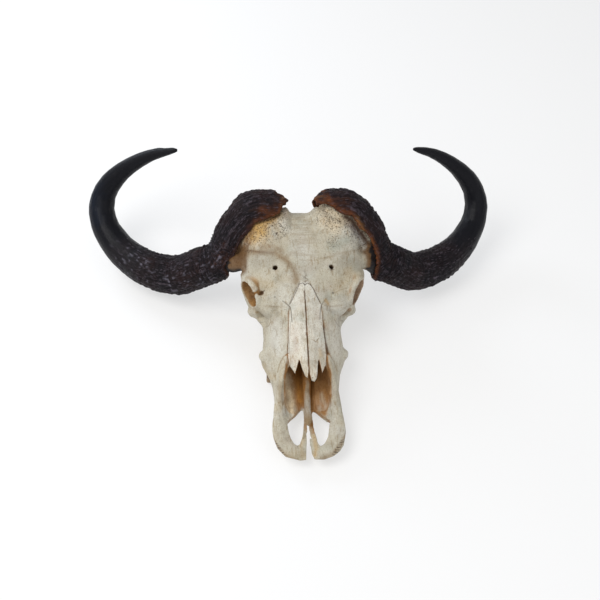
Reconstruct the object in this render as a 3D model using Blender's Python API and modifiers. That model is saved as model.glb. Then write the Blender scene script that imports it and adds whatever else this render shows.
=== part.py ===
"""Buffalo skull with its horns, life size, lying on its cheek teeth and the back of its base.

Metres, +Z up. The nose points to -Y and the animal's left side is +X. Sizes are first laid
out from the tip of the nose: x to the side, y back along the palate, z up from the floor.
"""
import math
import random

import bmesh
import bpy
import numpy as np
from mathutils import Vector

NAME = "buffalo_skull"
SIDES = {"left": 1, "right": -1}
SUTURE = 0.0003
SHEATH_GAP = 0.0005
VOXEL = 0.003
SKULL_FACES = 4150
HORN_FACES = 1300
SEED = 7
# how far a cutting block reaches past the skull
FAR = 0.6

# roof of the nose, on the midline: how far back, how high, and how fast it falls to the sides
NASAL_ROOF = [(0.128, 0.1165, 14.0), (0.160, 0.1275, 16.0), (0.190, 0.1375, 17.0), (0.225, 0.1490, 14.0),
              (0.260, 0.1610, 11.0), (0.290, 0.1715, 7.0), (0.325, 0.1845, 3.0)]
NASAL_THICK = 0.005
NASAL_LEVELS = (0.05, 0.30)
SEAT_HEIGHT = 0.05
# outline of one nasal bone from above, and how it goes on round the two prongs of each
NASAL_OUTLINE = [(0.0002, 0.3140), (0.0070, 0.3150), (0.0180, 0.2990), (0.0300, 0.2750), (0.0318, 0.2450),
                 (0.0345, 0.2100), (0.0362, 0.1880), (0.0335, 0.1700)]
NASAL_PRONGS = {
    "left": [(0.0252, 0.1510), (0.0222, 0.1640), (0.0193, 0.1755), (0.0170, 0.1620), (0.0156, 0.1510),
             (0.0138, 0.1386), (0.0093, 0.1317), (0.0040, 0.1334), (0.0006, 0.1434), (0.0002, 0.1600)],
    "right": [(0.0252, 0.1515), (0.0212, 0.1620), (0.0167, 0.1745), (0.0130, 0.1580), (0.0076, 0.1418),
              (0.0035, 0.1383), (0.0012, 0.1480), (0.0002, 0.1612)]}

# cross sections of the muzzle and face: back, roof, shoulder x z, side x z, foot x z, palate
FACE = [(0.094, 0.038, 0.044, 0.038, 0.056, 0.034, 0.047, 0.026, 0.025),
        (0.115, 0.052, 0.050, 0.050, 0.061, 0.041, 0.052, 0.027, 0.025),
        (0.150, 0.080, 0.046, 0.076, 0.062, 0.054, 0.052, 0.024, 0.023),
        (0.185, 0.115, 0.041, 0.104, 0.0668, 0.060, 0.0565, 0.021, 0.022),
        (0.206, 0.137, 0.042, 0.118, 0.0735, 0.062, 0.064, 0.020, 0.022),
        (0.226, 0.146, 0.043, 0.124, 0.081, 0.061, 0.068, 0.021, 0.023),
        (0.248, 0.155, 0.042, 0.131, 0.0755, 0.066, 0.068, 0.023, 0.025),
        (0.275, 0.164, 0.046, 0.143, 0.0725, 0.078, 0.067, 0.026, 0.027),
        (0.300, 0.173, 0.054, 0.154, 0.075, 0.092, 0.066, 0.030, 0.030),
        (0.325, 0.182, 0.064, 0.168, 0.086, 0.112, 0.062, 0.034, 0.032),
        (0.352, 0.190, 0.070, 0.178, 0.088, 0.126, 0.052, 0.042, 0.040)]
# the same for the brow, from the eye sockets to the nape
BROW = [(0.300, 0.172, 0.050, 0.158, 0.076, 0.130, 0.050, 0.105, 0.100),
        (0.322, 0.182, 0.058, 0.174, 0.094, 0.148, 0.066, 0.114, 0.100),
        (0.345, 0.192, 0.066, 0.186, 0.106, 0.154, 0.072, 0.122, 0.100),
        (0.375, 0.206, 0.072, 0.200, 0.116, 0.162, 0.076, 0.128, 0.100),
        (0.410, 0.218, 0.072, 0.214, 0.120, 0.168, 0.075, 0.128, 0.095),
        (0.438, 0.223, 0.064, 0.220, 0.115, 0.166, 0.072, 0.120, 0.085),
        (0.460, 0.214, 0.058, 0.206, 0.098, 0.145, 0.074, 0.100, 0.070),
        (0.474, 0.188, 0.050, 0.176, 0.086, 0.125, 0.064, 0.086, 0.062)]

# eye sockets: middle of the rim, the way it looks, and its ring; then depth and radius inside
SOCKET_CENTRE = (0.0995, 0.3230, 0.1365)
SOCKET_LOOK = (0.874, -0.480, 0.018)
SOCKET_RADIUS = 0.0278
RIM_THICK = 0.0066
SOCKET_DEPTHS = [(0.030, 0.036), (0.006, 0.0265), (-0.010, 0.0255), (-0.028, 0.0200), (-0.038, 0.0100)]
# outlines of the fissures in the palate, from above
FISSURE_LEVELS = (-0.02, 0.05)
FISSURE = {
    "left": [(0.0105, 0.1190), (0.0250, 0.1060), (0.0385, 0.0925), (0.0375, 0.0740), (0.0325, 0.0562),
             (0.0215, 0.0440), (0.0152, 0.0506), (0.0138, 0.0620), (0.0104, 0.0848)],
    "right": [(0.0070, 0.1240), (0.0215, 0.1095), (0.0375, 0.0950), (0.0385, 0.0790), (0.0355, 0.0610),
              (0.0267, 0.0460), (0.0190, 0.0510), (0.0140, 0.0620), (0.0096, 0.0813)]}
# the slit between the tips of the premaxillae: back, its right edge, its left edge
MIDLINE_SLIT = [(-0.60, -0.0090, -0.0007), (0.019, -0.0090, -0.0007), (0.040, -0.0071, 0.0003),
                (0.061, -0.0049, 0.0008), (0.082, -0.0020, 0.0016), (0.60, -0.0018, 0.0018)]

# one horn along its middle: x, back, up, half width along the skull, half thickness
HORN = [(0.014, 0.453, 0.220, 0.034, 0.032), (0.050, 0.460, 0.220, 0.045, 0.041),
        (0.090, 0.461, 0.211, 0.051, 0.046), (0.124, 0.443, 0.178, 0.050, 0.046),
        (0.156, 0.415, 0.130, 0.042, 0.040), (0.187, 0.420, 0.106, 0.0405, 0.040),
        (0.220, 0.425, 0.080, 0.0400, 0.0395), (0.253, 0.4335, 0.0615, 0.0398, 0.0395),
        (0.3100, 0.4605, 0.0560, 0.0370, 0.0370), (0.3570, 0.4985, 0.0638, 0.0322, 0.0322),
        (0.385, 0.5350, 0.0780, 0.0287, 0.0287), (0.396, 0.5565, 0.0925, 0.0268, 0.0268),
        (0.3997, 0.5790, 0.1115, 0.0255, 0.0255), (0.392, 0.5970, 0.1345, 0.0234, 0.0234),
        (0.3745, 0.6065, 0.1605, 0.0212, 0.0212), (0.348, 0.6115, 0.1875, 0.0175, 0.0175),
        (0.315, 0.6105, 0.2150, 0.0142, 0.0142), (0.282, 0.6040, 0.2385, 0.0108, 0.0108),
        (0.261, 0.5970, 0.2505, 0.0085, 0.0085), (0.241, 0.5885, 0.2625, 0.0050, 0.0050),
        (0.2365, 0.5863, 0.2648, 0.0022, 0.0022)]
# how much stouter than that each horn is behind this line, and at the bend beside the brow;
# and the way that the thickness of a horn first points
HORN_GIRTH = {"left": 0.96, "right": 1.04}
GIRTH_FROM = 0.46
GIRTH_RAMP = 0.10
HORN_UP = (0, 0.35, 1)
HORN_WAIST = {"left": 1.0, "right": 0.86}
WAIST_X = 0.132
WAIST_REACH = 0.028
# bony core inside the sheath, as far out as this station, and its blunt end
HORN_WALL = 0.008
CORE_START_X = 0.045
CORE_STATIONS = 8
CORE_END = (0.285, 0.449, 0.058, 0.016, 0.016)
# hollow at the torn inner end of a sheath
SHEATH_WALL = 0.0055
HOLLOW_START_X = 0.004
HOLLOW_STATIONS = 2
# edge of each horny sheath over the forehead, seen square to the slope of the forehead:
# to the side, and up that slope
BROW_SLOPE = math.radians(38)
RIM = {
    "left": [(0.0520, 0.580), (0.0430, 0.5345), (0.0345, 0.5280), (0.0262, 0.5195), (0.0309, 0.5080),
             (0.0425, 0.5080), (0.0530, 0.5050), (0.0613, 0.5010), (0.0740, 0.4895), (0.0990, 0.4840),
             (0.1060, 0.4700), (0.1127, 0.4600), (0.1271, 0.4514), (0.1370, 0.4400), (0.1427, 0.4247),
             (0.1477, 0.4090), (0.1501, 0.3920), (0.1530, 0.2500)],
    "right": [(0.0540, 0.580), (0.0450, 0.5310), (0.0350, 0.5245), (0.0257, 0.5160), (0.0385, 0.5060),
              (0.0444, 0.4900), (0.0686, 0.4800),
              (0.0900, 0.4740), (0.1058, 0.4550), (0.1219, 0.4310), (0.1358, 0.4020), (0.1413, 0.3840),
              (0.1450, 0.2500)]}
RIM_PAST_MIDLINE = 0.05
RIM_DEPTHS = (-0.45, 0.15)

# cheek teeth from front to back: length, half width, roots, how far the crown stops short
TEETH = [(0.013, 0.0075, 1, 0.0040), (0.018, 0.0095, 1, 0.0020), (0.018, 0.0110, 1, 0.0),
         (0.024, 0.0120, 2, 0.0), (0.028, 0.0130, 2, 0.0), (0.030, 0.0125, 2, 0.0)]
TOOTH_ROW_START = 0.200
TOOTH_ROW_X = {
    "left": [(0.200, 0.0585), (0.250, 0.0605), (0.300, 0.0600), (0.340, 0.0560)],
    "right": [(0.200, 0.0665), (0.212, 0.0635), (0.222, 0.0595), (0.250, 0.0605), (0.300, 0.0600), (0.340, 0.0560)]}
# girth of a tooth: at heights over its chewing face, then at heights over the floor
TOOTH_CROWN = [(0.0, 0.86), (0.003, 0.97)]
TOOTH_ROOT = [(0.020, 1.0), (0.042, 0.90)]
TOOTH_CORNER = 0.09
TOOTH_VARIATION = 0.015
LOBE_OVERLAP = 1.08

# bars and ridges of the left side: x, y, z, half width, half thickness
SIDE_BARS = {
    "cheek": [(0.060, 0.262, 0.066, 0.010, 0.012), (0.066, 0.290, 0.074, 0.011, 0.013),
              (0.088, 0.319, 0.084, 0.010, 0.012), (0.103, 0.345, 0.088, 0.006, 0.010),
              (0.108, 0.376, 0.087, 0.006, 0.009), (0.103, 0.402, 0.086, 0.009, 0.009),
              (0.078, 0.424, 0.090, 0.018, 0.012)],
    "socket_roof": [(0.075, 0.330, 0.152, 0.020, 0.016), (0.098, 0.342, 0.154, 0.018, 0.012),
                    (0.108, 0.356, 0.150, 0.013, 0.010)],
    "core_foot": [(0.095, 0.378, 0.158, 0.018, 0.018), (0.116, 0.389, 0.153, 0.018, 0.018),
                  (0.134, 0.392, 0.144, 0.018, 0.018), (0.148, 0.408, 0.132, 0.016, 0.016)],
    "socket_floor": [(0.084, 0.301, 0.104, 0.011, 0.016), (0.096, 0.326, 0.102, 0.009, 0.018),
                     (0.106, 0.352, 0.104, 0.007, 0.016)],
    "wing": [(0.026, 0.330, 0.036, 0.006, 0.012), (0.023, 0.352, 0.044, 0.004, 0.014),
             (0.022, 0.376, 0.056, 0.004, 0.012)],
    "jaw_joint": [(0.060, 0.412, 0.098, 0.020, 0.016), (0.090, 0.412, 0.086, 0.018, 0.008),
                  (0.106, 0.410, 0.085, 0.010, 0.006)]}
# the same for the ones that stand upright
UPRIGHT_BARS = {
    "mastoid": [(0.070, 0.452, 0.130, 0.020, 0.018), (0.076, 0.456, 0.100, 0.018, 0.016),
                (0.070, 0.458, 0.070, 0.016, 0.014)],
    "foot_of_base": [(0.068, 0.458, 0.084, 0.015, 0.017), (0.063, 0.460, 0.052, 0.010, 0.015),
                     (0.058, 0.458, 0.024, 0.0065, 0.012), (0.055, 0.455, -0.004, 0.0050, 0.009)]}
# rounded swellings of the left side: centre, then radii
SIDE_LUMPS = {
    "socket_wall": ((0.078, 0.338, 0.132), (0.034, 0.038, 0.037)),
    "socket_lump": ((0.093, 0.319, 0.084), (0.0135, 0.013, 0.013)),
    "brow_corner": ((0.107, 0.357, 0.148), (0.013, 0.014, 0.012)),
    "tear_bone": ((0.060, 0.313, 0.127), (0.0305, 0.036, 0.036)),
    "dome": ((0.066, 0.432, 0.1665), (0.059, 0.062, 0.066)),
    "horn_root": ((0.042, 0.434, 0.1966), (0.030, 0.042, 0.042)),
    "tuber": ((0.0755, 0.2265, 0.061), (0.0125, 0.013, 0.012)),
    "condyle": ((0.028, 0.480, 0.068), (0.019, 0.021, 0.024)),
    "ear_capsule": ((0.040, 0.436, 0.052), (0.012, 0.020, 0.018))}
# the left side is a little wider than the right about its eye socket
LEFT_WIDER = 0.040
WIDER_BACK = (0.252, 0.375)
WIDER_FADE = 0.022
BRAINCASE = ((0, 0.415, 0.128), (0.060, 0.068, 0.066))
NAPE = ((0, 0.458, 0.122), (0.094, 0.026, 0.060))
NAPE_CREST = [(-0.082, 0.450, 0.150, 0.006, 0.010), (-0.048, 0.468, 0.178, 0.007, 0.008),
              (0.0, 0.476, 0.186, 0.009, 0.010), (0.048, 0.468, 0.178, 0.007, 0.008),
              (0.082, 0.450, 0.150, 0.006, 0.010)]
BASE = [(0, 0.315, 0.066, 0.020, 0.016), (0, 0.370, 0.062, 0.016, 0.014),
        (0, 0.430, 0.056, 0.024, 0.014), (0, 0.478, 0.060, 0.026, 0.014)]
PREMAXILLA_BODY = [(0.0045, 0.0285, 0.0255, 0.0115, 0.0045), (0.0210, 0.0305, 0.0265, 0.0145, 0.0060),
                   (0.0385, 0.0410, 0.0285, 0.0190, 0.0065), (0.0495, 0.0590, 0.0310, 0.0185, 0.0070),
                   (0.0535, 0.0790, 0.0350, 0.0165, 0.0075), (0.0545, 0.1010, 0.0430, 0.0118, 0.0080),
                   (0.0540, 0.1220, 0.0530, 0.0090, 0.0100), (0.0515, 0.1480, 0.0720, 0.0062, 0.0110),
                   (0.0455, 0.1720, 0.0920, 0.0052, 0.0110), (0.0385, 0.1930, 0.1100, 0.0042, 0.0080)]
PREMAXILLA_INNER = [(0.0110, 0.030, 0.026, 0.010, 0.005), (0.0090, 0.056, 0.026, 0.0085, 0.0050),
                    (0.0065, 0.082, 0.027, 0.0062, 0.0045), (0.0055, 0.112, 0.028, 0.0052, 0.0042),
                    (0.0055, 0.140, 0.030, 0.0050, 0.0042)]
VOMER = [(-0.0017, 0.0805, 0.0415, 0.0014, 0.0015), (-0.0012, 0.087, 0.0420, 0.0060, 0.0035),
         (-0.0004, 0.098, 0.0425, 0.0080, 0.0045), (0.0, 0.112, 0.0425, 0.0059, 0.005),
         (0.0010, 0.137, 0.0430, 0.0068, 0.0075), (0.0025, 0.180, 0.0455, 0.0083, 0.0115),
         (0.0030, 0.225, 0.0500, 0.0085, 0.016)]
# holes: nose and the dip on each side of its floor, inner nostrils, hole for the spinal cord, and the small one over the left eye
NOSE_HOLE = [(0.000, 0.060, 0.082, 0.030, 0.060), (0.000, 0.100, 0.082, 0.0415, 0.056),
             (0.000, 0.145, 0.082, 0.0435, 0.050), (0.000, 0.180, 0.078, 0.0370, 0.046),
             (0.000, 0.220, 0.080, 0.0330, 0.044), (0.000, 0.262, 0.088, 0.0220, 0.036)]
NOSE_FLOOR = [(0.0270, 0.070, 0.055, 0.0090, 0.014), (0.0295, 0.090, 0.056, 0.0140, 0.0195),
              (0.0300, 0.118, 0.060, 0.0145, 0.0215), (0.0270, 0.150, 0.064, 0.0110, 0.0200)]
CHOANA = [(0.000, 0.400, 0.030, 0.010, 0.012), (0.000, 0.360, 0.038, 0.017, 0.016),
          (0.000, 0.325, 0.046, 0.016, 0.014), (0.000, 0.310, 0.048, 0.008, 0.008)]
SPINE_HOLE = [(0.000, 0.520, 0.088, 0.014, 0.013), (0.000, 0.480, 0.088, 0.014, 0.013),
              (0.000, 0.456, 0.092, 0.010, 0.010)]
BROW_HOLE = [(0.054, 0.338, 0.230, 0.0055, 0.0045), (0.054, 0.345, 0.184, 0.0050, 0.0040),
             (0.052, 0.350, 0.170, 0.0025, 0.0022)]

# seams between the bones: seen from the side, back and up
PREMAXILLA_SEAM = [(0.086, -0.02), (0.104, 0.030), (0.131, 0.052), (0.165, 0.082), (0.190, 0.106),
                   (0.205, 0.135)]
CRANIUM_SEAM = [(0.346, -0.02), (0.345, 0.048), (0.322, 0.064), (0.300, 0.074), (0.287, 0.096),
                (0.279, 0.125), (0.274, 0.150), (0.272, 0.24)]

BONE = (0.72, 0.66, 0.52)
OLD_BONE = (0.66, 0.58, 0.43)
DARK_BONE = (0.35, 0.22, 0.10)
KERATIN = (0.035, 0.028, 0.025)
# colour and roughness of each kind of node
LOOKS = {"cranium": (BONE, 0.65), "maxilla": (OLD_BONE, 0.60), "premaxilla": (OLD_BONE, 0.60),
         "nasal": (BONE, 0.55), "vomer": (DARK_BONE, 0.70), "horn": (KERATIN, 0.45)}


def clear_scene():
    for thing in list(bpy.data.objects):
        bpy.data.objects.remove(thing, do_unlink=True)


def make_collection(name, hidden=False):
    group = bpy.data.collections.new(name)
    bpy.context.scene.collection.children.link(group)
    group.hide_render = hidden
    return group


def make_material(name, colour, roughness):
    paint = bpy.data.materials.new(name)
    paint.use_nodes = True
    shader = paint.node_tree.nodes["Principled BSDF"]
    shader.inputs["Base Color"].default_value = (*colour, 1.0)
    shader.inputs["Roughness"].default_value = roughness
    shader.inputs["Metallic"].default_value = 0.0
    paint.diffuse_color = (*colour, 1.0)
    return paint


def new_object(name, mesh, group):
    thing = bpy.data.objects.new(name, mesh)
    group.objects.link(thing)
    if group.hide_render:
        thing.hide_render = True
        thing.display_type = "WIRE"
    return thing


def smooth_rows(rows, per_span):
    """Rows of sizes along a smooth curve through the given rows."""
    rows = np.asarray(rows, float)
    padded = np.vstack([2 * rows[0] - rows[1], rows, 2 * rows[-1] - rows[-2]])
    result = []
    for k in range(1, len(padded) - 2):
        before, start, end, after = padded[k - 1:k + 3]
        for step in range(per_span):
            t = step / per_span
            result.append(0.5 * (2 * start + (end - before) * t
                                 + (2 * before - 5 * start + 4 * end - after) * t ** 2
                                 + (3 * start - before - 3 * end + after) * t ** 3))
    result.append(rows[-1])
    return np.array(result)


def ring_solid(name, rings, group, closed=False):
    """Solid through rings of equally many points, with flat ends or closed into a hoop."""
    bm = bmesh.new()
    loops = [[bm.verts.new(point) for point in ring] for ring in rings]
    count = len(loops[0])
    for first, second in zip(loops, loops[1:] + loops[:1] if closed else loops[1:]):
        for k in range(count):
            after = (k + 1) % count
            bm.faces.new((first[k], first[after], second[after], second[k]))
    if not closed:
        bm.faces.new(loops[0][::-1])
        bm.faces.new(loops[-1])
    bmesh.ops.recalc_face_normals(bm, faces=bm.faces)
    bmesh.ops.triangulate(bm, faces=bm.faces, quad_method="FIXED")
    mesh = bpy.data.meshes.new(name)
    bm.to_mesh(mesh)
    bm.free()
    return new_object(name, mesh, group)


def circle(sides):
    return np.linspace(0, 2 * math.pi, sides, endpoint=False)


def tube(name, stations, group, sides=20, per_span=4, up=(0, 0, 1)):
    """Solid along stations of x, y, z, half width and half thickness, never twisted."""
    rows = smooth_rows(stations, per_span)
    ahead = np.gradient(rows[:, :3], axis=0)
    rings = []
    lift = Vector(up)
    for row, way in zip(rows, ahead):
        way = Vector(way).normalized()
        lift = (lift - way * lift.dot(way)).normalized()
        wide = way.cross(lift)
        centre = Vector(row[:3])
        rings.append([centre + wide * (row[3] * math.cos(a)) + lift * (row[4] * math.sin(a))
                      for a in circle(sides)])
    return ring_solid(name, rings, group)


def section_loft(name, stations, group):
    """Solid through cross sections given as roof, shoulder, side, foot and floor."""
    rings = []
    for y, roof, sh_x, sh_z, side_x, side_z, foot_x, foot_z, floor in smooth_rows(stations, 4):
        half = [(sh_x, sh_z), (side_x, side_z), (foot_x, foot_z)]
        loop = [(0, roof), *half, (0, floor), *[(-x, z) for x, z in half[::-1]]]
        loop = smooth_rows(loop[-1:] + loop + loop[:2], 5)[5:5 * (len(loop) + 1)]
        rings.append([(x, y, z) for x, z in loop])
    return ring_solid(name, rings, group)


def ball(name, centre, radii, group, side=1):
    """Ellipsoid, at a place given for the left side of the animal."""
    mesh = bpy.data.meshes.new(name)
    bm = bmesh.new()
    bmesh.ops.create_uvsphere(bm, u_segments=24, v_segments=14, radius=1.0)
    for vert in bm.verts:
        vert.co = Vector((vert.co.x * radii[0] + centre[0] * side, vert.co.y * radii[1] + centre[1],
                          vert.co.z * radii[2] + centre[2]))
    bm.to_mesh(mesh)
    bm.free()
    return new_object(name, mesh, group)


def mirrored(rows, side):
    return [(row[0] * side, *row[1:]) for row in rows]


def slab(name, outline, low, high, axis, group):
    """Prism on an outline: an x y outline along z, or a y z outline along x."""
    def place(point, level):
        return (*point, level) if axis == "z" else (level, *point)
    return ring_solid(name, [[place(p, level) for p in outline] for level in (low, high)], group)


def offset_outline(outline, distance):
    """Outline moved outward by a distance, whichever way round it runs."""
    points = np.asarray(outline, float)
    before = np.roll(points, 1, axis=0)
    after = np.roll(points, -1, axis=0)
    outward = np.sign(np.sum(points[:, 0] * after[:, 1] - after[:, 0] * points[:, 1]))
    moved = []
    for a, b, c in zip(before, points, after):
        first = (b - a) / np.linalg.norm(b - a)
        second = (c - b) / np.linalg.norm(c - b)
        normal = np.array([first[1] + second[1], -first[0] - second[0]])
        normal /= max(np.linalg.norm(normal), 1e-9)
        reach = max(0.35, normal @ np.array([first[1], -first[0]]))
        moved.append(b + normal * outward * distance / reach)
    return [tuple(p) for p in moved]


def evaluated_mesh(thing):
    return bpy.data.meshes.new_from_object(thing.evaluated_get(bpy.context.evaluated_depsgraph_get()))


def apply_modifiers(thing):
    bpy.context.view_layer.update()
    mesh = evaluated_mesh(thing)
    thing.modifiers.clear()
    old = thing.data
    thing.data = mesh
    bpy.data.meshes.remove(old)


def join_meshes(name, things, group):
    """One object that holds the faces of several."""
    bm = bmesh.new()
    for thing in things:
        bm.from_mesh(thing.data)
    mesh = bpy.data.meshes.new(name)
    bm.to_mesh(mesh)
    bm.free()
    for thing in things:
        bpy.data.objects.remove(thing, do_unlink=True)
    return new_object(name, mesh, group)


def boolean(thing, cutter, operation, crossed=False):
    """Cut or join by another solid, which is used up. A crossed one may pass through itself."""
    step = thing.modifiers.new("cut", "BOOLEAN")
    step.object = cutter
    step.operation = operation
    step.solver = "EXACT"
    step.use_self = crossed
    apply_modifiers(thing)
    bpy.data.objects.remove(cutter, do_unlink=True)


def keep_largest(thing):
    """Drop every closed surface of a node but its largest."""
    bm = bmesh.new()
    bm.from_mesh(thing.data)
    bmesh.ops.remove_doubles(bm, verts=bm.verts, dist=0.00001)
    islands = []
    seen = set()
    for start in bm.faces:
        if start in seen:
            continue
        seen.add(start)
        island = [start]
        for face in island:
            for edge in face.edges:
                for other in edge.link_faces:
                    if other not in seen:
                        seen.add(other)
                        island.append(other)
        islands.append(island)
    islands.sort(key=lambda faces: sum(face.calc_area() for face in faces))
    for island in islands[:-1]:
        bmesh.ops.delete(bm, geom=island, context="FACES")
    bmesh.ops.delete(bm, geom=[v for v in bm.verts if not v.link_faces], context="VERTS")
    bmesh.ops.triangulate(bm, faces=bm.faces)
    bm.to_mesh(thing.data)
    bm.free()


def copy_of(thing, name, group):
    return new_object(name, thing.data.copy(), group)


def grown_copy(thing, distance, group):
    copy = copy_of(thing, thing.name + "_grown", group)
    swell = copy.modifiers.new("swell", "DISPLACE")
    swell.mid_level = 0.0
    swell.strength = distance
    apply_modifiers(copy)
    return copy


def nasal_roof(back):
    levels = np.array(NASAL_ROOF)
    return np.interp(back, levels[:, 0], levels[:, 1]), np.interp(back, levels[:, 0], levels[:, 2])


def roof_height(point):
    top, fall = nasal_roof(point[1])
    return top - fall * point[0] ** 2


def roof_plate(name, top, bottom, group, half_width=0.048, steps=9):
    """Arched plate over the nose between two heights measured from its roof line."""
    rings = []
    for back in np.linspace(NASAL_ROOF[0][0], NASAL_ROOF[-1][0], 14):
        across = np.linspace(-half_width, half_width, steps)
        upper = [(x, back, roof_height((x, back)) + top) for x in across]
        lower = [(x, back, roof_height((x, back)) + bottom) for x in across[::-1]]
        rings.append(upper + lower)
    return ring_solid(name, rings, group)


def nasal_bone(word, group, cutters, grow=0.0, top=0.0):
    label = "nasal_" + word
    outline = [(x * SIDES[word], y) for x, y in NASAL_OUTLINE + NASAL_PRONGS[word]]
    outline = offset_outline(outline, grow) if grow else outline
    bone = roof_plate(label, top, -NASAL_THICK - grow, group)
    prism = slab("nasal_outline", outline, *NASAL_LEVELS, "z", cutters)
    boolean(bone, prism, "INTERSECT")
    return bone


def build_rough_skull(group):
    """Every bone but the nasals and the vomer, as overlapping forms."""
    forms = [section_loft("face", FACE, group), section_loft("brow", BROW, group),
             ball("braincase", *BRAINCASE, group), ball("nape", *NAPE, group),
             tube("nape_crest", NAPE_CREST, group), tube("base", BASE, group)]
    for word, side in SIDES.items():
        forms += side_forms(word, side, group)
    skull = join_meshes("skull", forms, group)
    for vert in skull.data.vertices:
        vert.co.x *= wider_by(vert.co)
    return skull


def wider_by(place):
    """How much the left side is stretched at a place, because the skull is a little lopsided."""
    if place.x <= 0:
        return 1.0
    inside = min(place.y - WIDER_BACK[0], WIDER_BACK[1] - place.y) / WIDER_FADE + 1
    return 1.0 + LEFT_WIDER * min(1.0, max(0.0, inside))


def side_forms(word, side, group):
    """The paired forms on one side of the skull."""
    forms = [tube("horn_core", core_path(word, side), group), socket_ring(side, group)]
    for label, path in SIDE_BARS.items():
        forms.append(tube(label, mirrored(path, side), group))
    for label, path in UPRIGHT_BARS.items():
        forms.append(tube(label, mirrored(path, side), group, up=(0, 1, 0)))
    for label, path in (("body", PREMAXILLA_BODY), ("inner", PREMAXILLA_INNER)):
        forms.append(tube("premaxilla_" + label, mirrored(path, side), group))
    for label, (centre, radii) in SIDE_LUMPS.items():
        forms.append(ball(label, centre, radii, group, side))
    return forms


def socket_frame(side):
    """Middle of an eye socket's rim, the way that it looks, and the turn to look that way."""
    centre = Vector(SOCKET_CENTRE)
    look = Vector(SOCKET_LOOK).normalized()
    centre.x *= side
    look.x *= side
    centre.x *= wider_by(centre)
    return centre, look, look.to_track_quat("Z", "Y").to_matrix()


def socket_ring(side, group):
    """Raised rim round the eye, before the left side is stretched."""
    centre, _, turn = socket_frame(side)
    centre.x /= wider_by(centre)
    rings = []
    for a in circle(32):
        out = Vector((math.cos(a), math.sin(a), 0))
        rings.append([centre + turn @ (out * (SOCKET_RADIUS + RIM_THICK * math.cos(b))
                                       + Vector((0, 0, RIM_THICK * math.sin(b))))
                      for b in circle(12)])
    return ring_solid("socket_ring", rings, group, closed=True)


def socket_cutter(side, cutters):
    centre, look, turn = socket_frame(side)
    rings = []
    for depth, radius in SOCKET_DEPTHS:
        middle = centre + look * depth
        rings.append([middle + turn @ Vector((radius * math.cos(a), radius * math.sin(a), 0))
                      for a in circle(28)])
    return ring_solid("socket", rings, cutters)


def reskin(thing, faces):
    """Turn overlapping forms into one smooth closed surface of about so many triangles."""
    skin = thing.modifiers.new("skin", "REMESH")
    skin.mode = "VOXEL"
    skin.voxel_size = VOXEL
    calm = thing.modifiers.new("calm", "SMOOTH")
    calm.factor = 0.5
    calm.iterations = 4
    apply_modifiers(thing)
    thin = thing.modifiers.new("thin", "DECIMATE")
    thin.ratio = min(1.0, faces / (2 * len(thing.data.polygons)))
    apply_modifiers(thing)


def cut_openings(skull, cutters):
    """Eye sockets, nose, palate fissures, inner nostrils and the larger holes."""
    boolean(skull, tube("nose_hole", NOSE_HOLE, cutters, sides=28), "DIFFERENCE")
    boolean(skull, tube("choana", CHOANA, cutters), "DIFFERENCE")
    boolean(skull, tube("spine_hole", SPINE_HOLE, cutters), "DIFFERENCE")
    for word, side in SIDES.items():
        boolean(skull, socket_cutter(side, cutters), "DIFFERENCE")
        boolean(skull, fissure_cutter(word, cutters), "DIFFERENCE")
        boolean(skull, tube("nose_floor", mirrored(NOSE_FLOOR, side), cutters), "DIFFERENCE")
        hole = tube("brow_hole", mirrored(BROW_HOLE, side), cutters, sides=10, per_span=2, up=(0, 1, 0))
        boolean(skull, hole, "DIFFERENCE")


def fissure_cutter(word, cutters):
    """Upright prism whose outline is the long fissure in the palate."""
    corners = FISSURE[word]
    outline = smooth_rows(corners[-1:] + corners + corners[:2], 3)[3:3 * (len(corners) + 1)]
    return slab("fissure", mirrored(outline, SIDES[word]), *FISSURE_LEVELS, "z", cutters)


def seam_block(seam, shift, cutters):
    """Block in front of a seam that is seen from the side."""
    outline = [(y + shift, z) for y, z in seam] + [(-FAR, seam[-1][1]), (-FAR, seam[0][1])]
    return slab("seam_block", outline, -FAR, FAR, "x", cutters)


def half_block(side, slit, cutters):
    """Block over one side of the skull, up to the edge of a slit along the midline."""
    outer = side * FAR
    edge = [(left if side > 0 else right, back) for back, right, left in slit]
    outline = [*edge, (outer, slit[-1][0]), (outer, slit[0][0])]
    return slab("half", outline, -FAR, FAR, "z", cutters)


def part_at_seam(whole, name, seam, group, cutters):
    """Take the bone in front of a seam off the whole, with a fine gap between the two."""
    front = copy_of(whole, name, group)
    boolean(front, seam_block(seam, -SUTURE / 2, cutters), "INTERSECT")
    boolean(whole, seam_block(seam, SUTURE / 2, cutters), "DIFFERENCE")
    return front


def split_skull(skull, group, cutters):
    """Part the skull into its bones with thin cuts along the seams."""
    face = part_at_seam(skull, "face", CRANIUM_SEAM, group, cutters)
    tip = part_at_seam(face, "tip", PREMAXILLA_SEAM, group, cutters)
    bones = {"cranium": skull}
    straight = [(back, -SUTURE / 2, SUTURE / 2) for back in (-FAR, FAR)]
    for label, whole, slit in (("maxilla", face, straight), ("premaxilla", tip, MIDLINE_SLIT)):
        for word, side in SIDES.items():
            bone = copy_of(whole, label, group)
            boolean(bone, half_block(side, slit, cutters), "INTERSECT")
            bones[label + "_" + word] = bone
        bpy.data.objects.remove(whole, do_unlink=True)
    return bones


def tooth_lobe(centre, half_length, half_width, crown, group):
    """One column of a cheek tooth: a rounded block with soft corners."""
    rings = []
    for z, grow in [(crown + rise, grow) for rise, grow in TOOTH_CROWN] + TOOTH_ROOT:
        ring = []
        for a in circle(12):
            reach = grow * (1.0 - TOOTH_CORNER * math.cos(4 * a))
            ring.append((centre[0] + half_width * reach * math.cos(a),
                         centre[1] + half_length * reach * math.sin(a), z))
        rings.append(ring)
    return ring_solid("tooth", rings, group)


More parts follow.
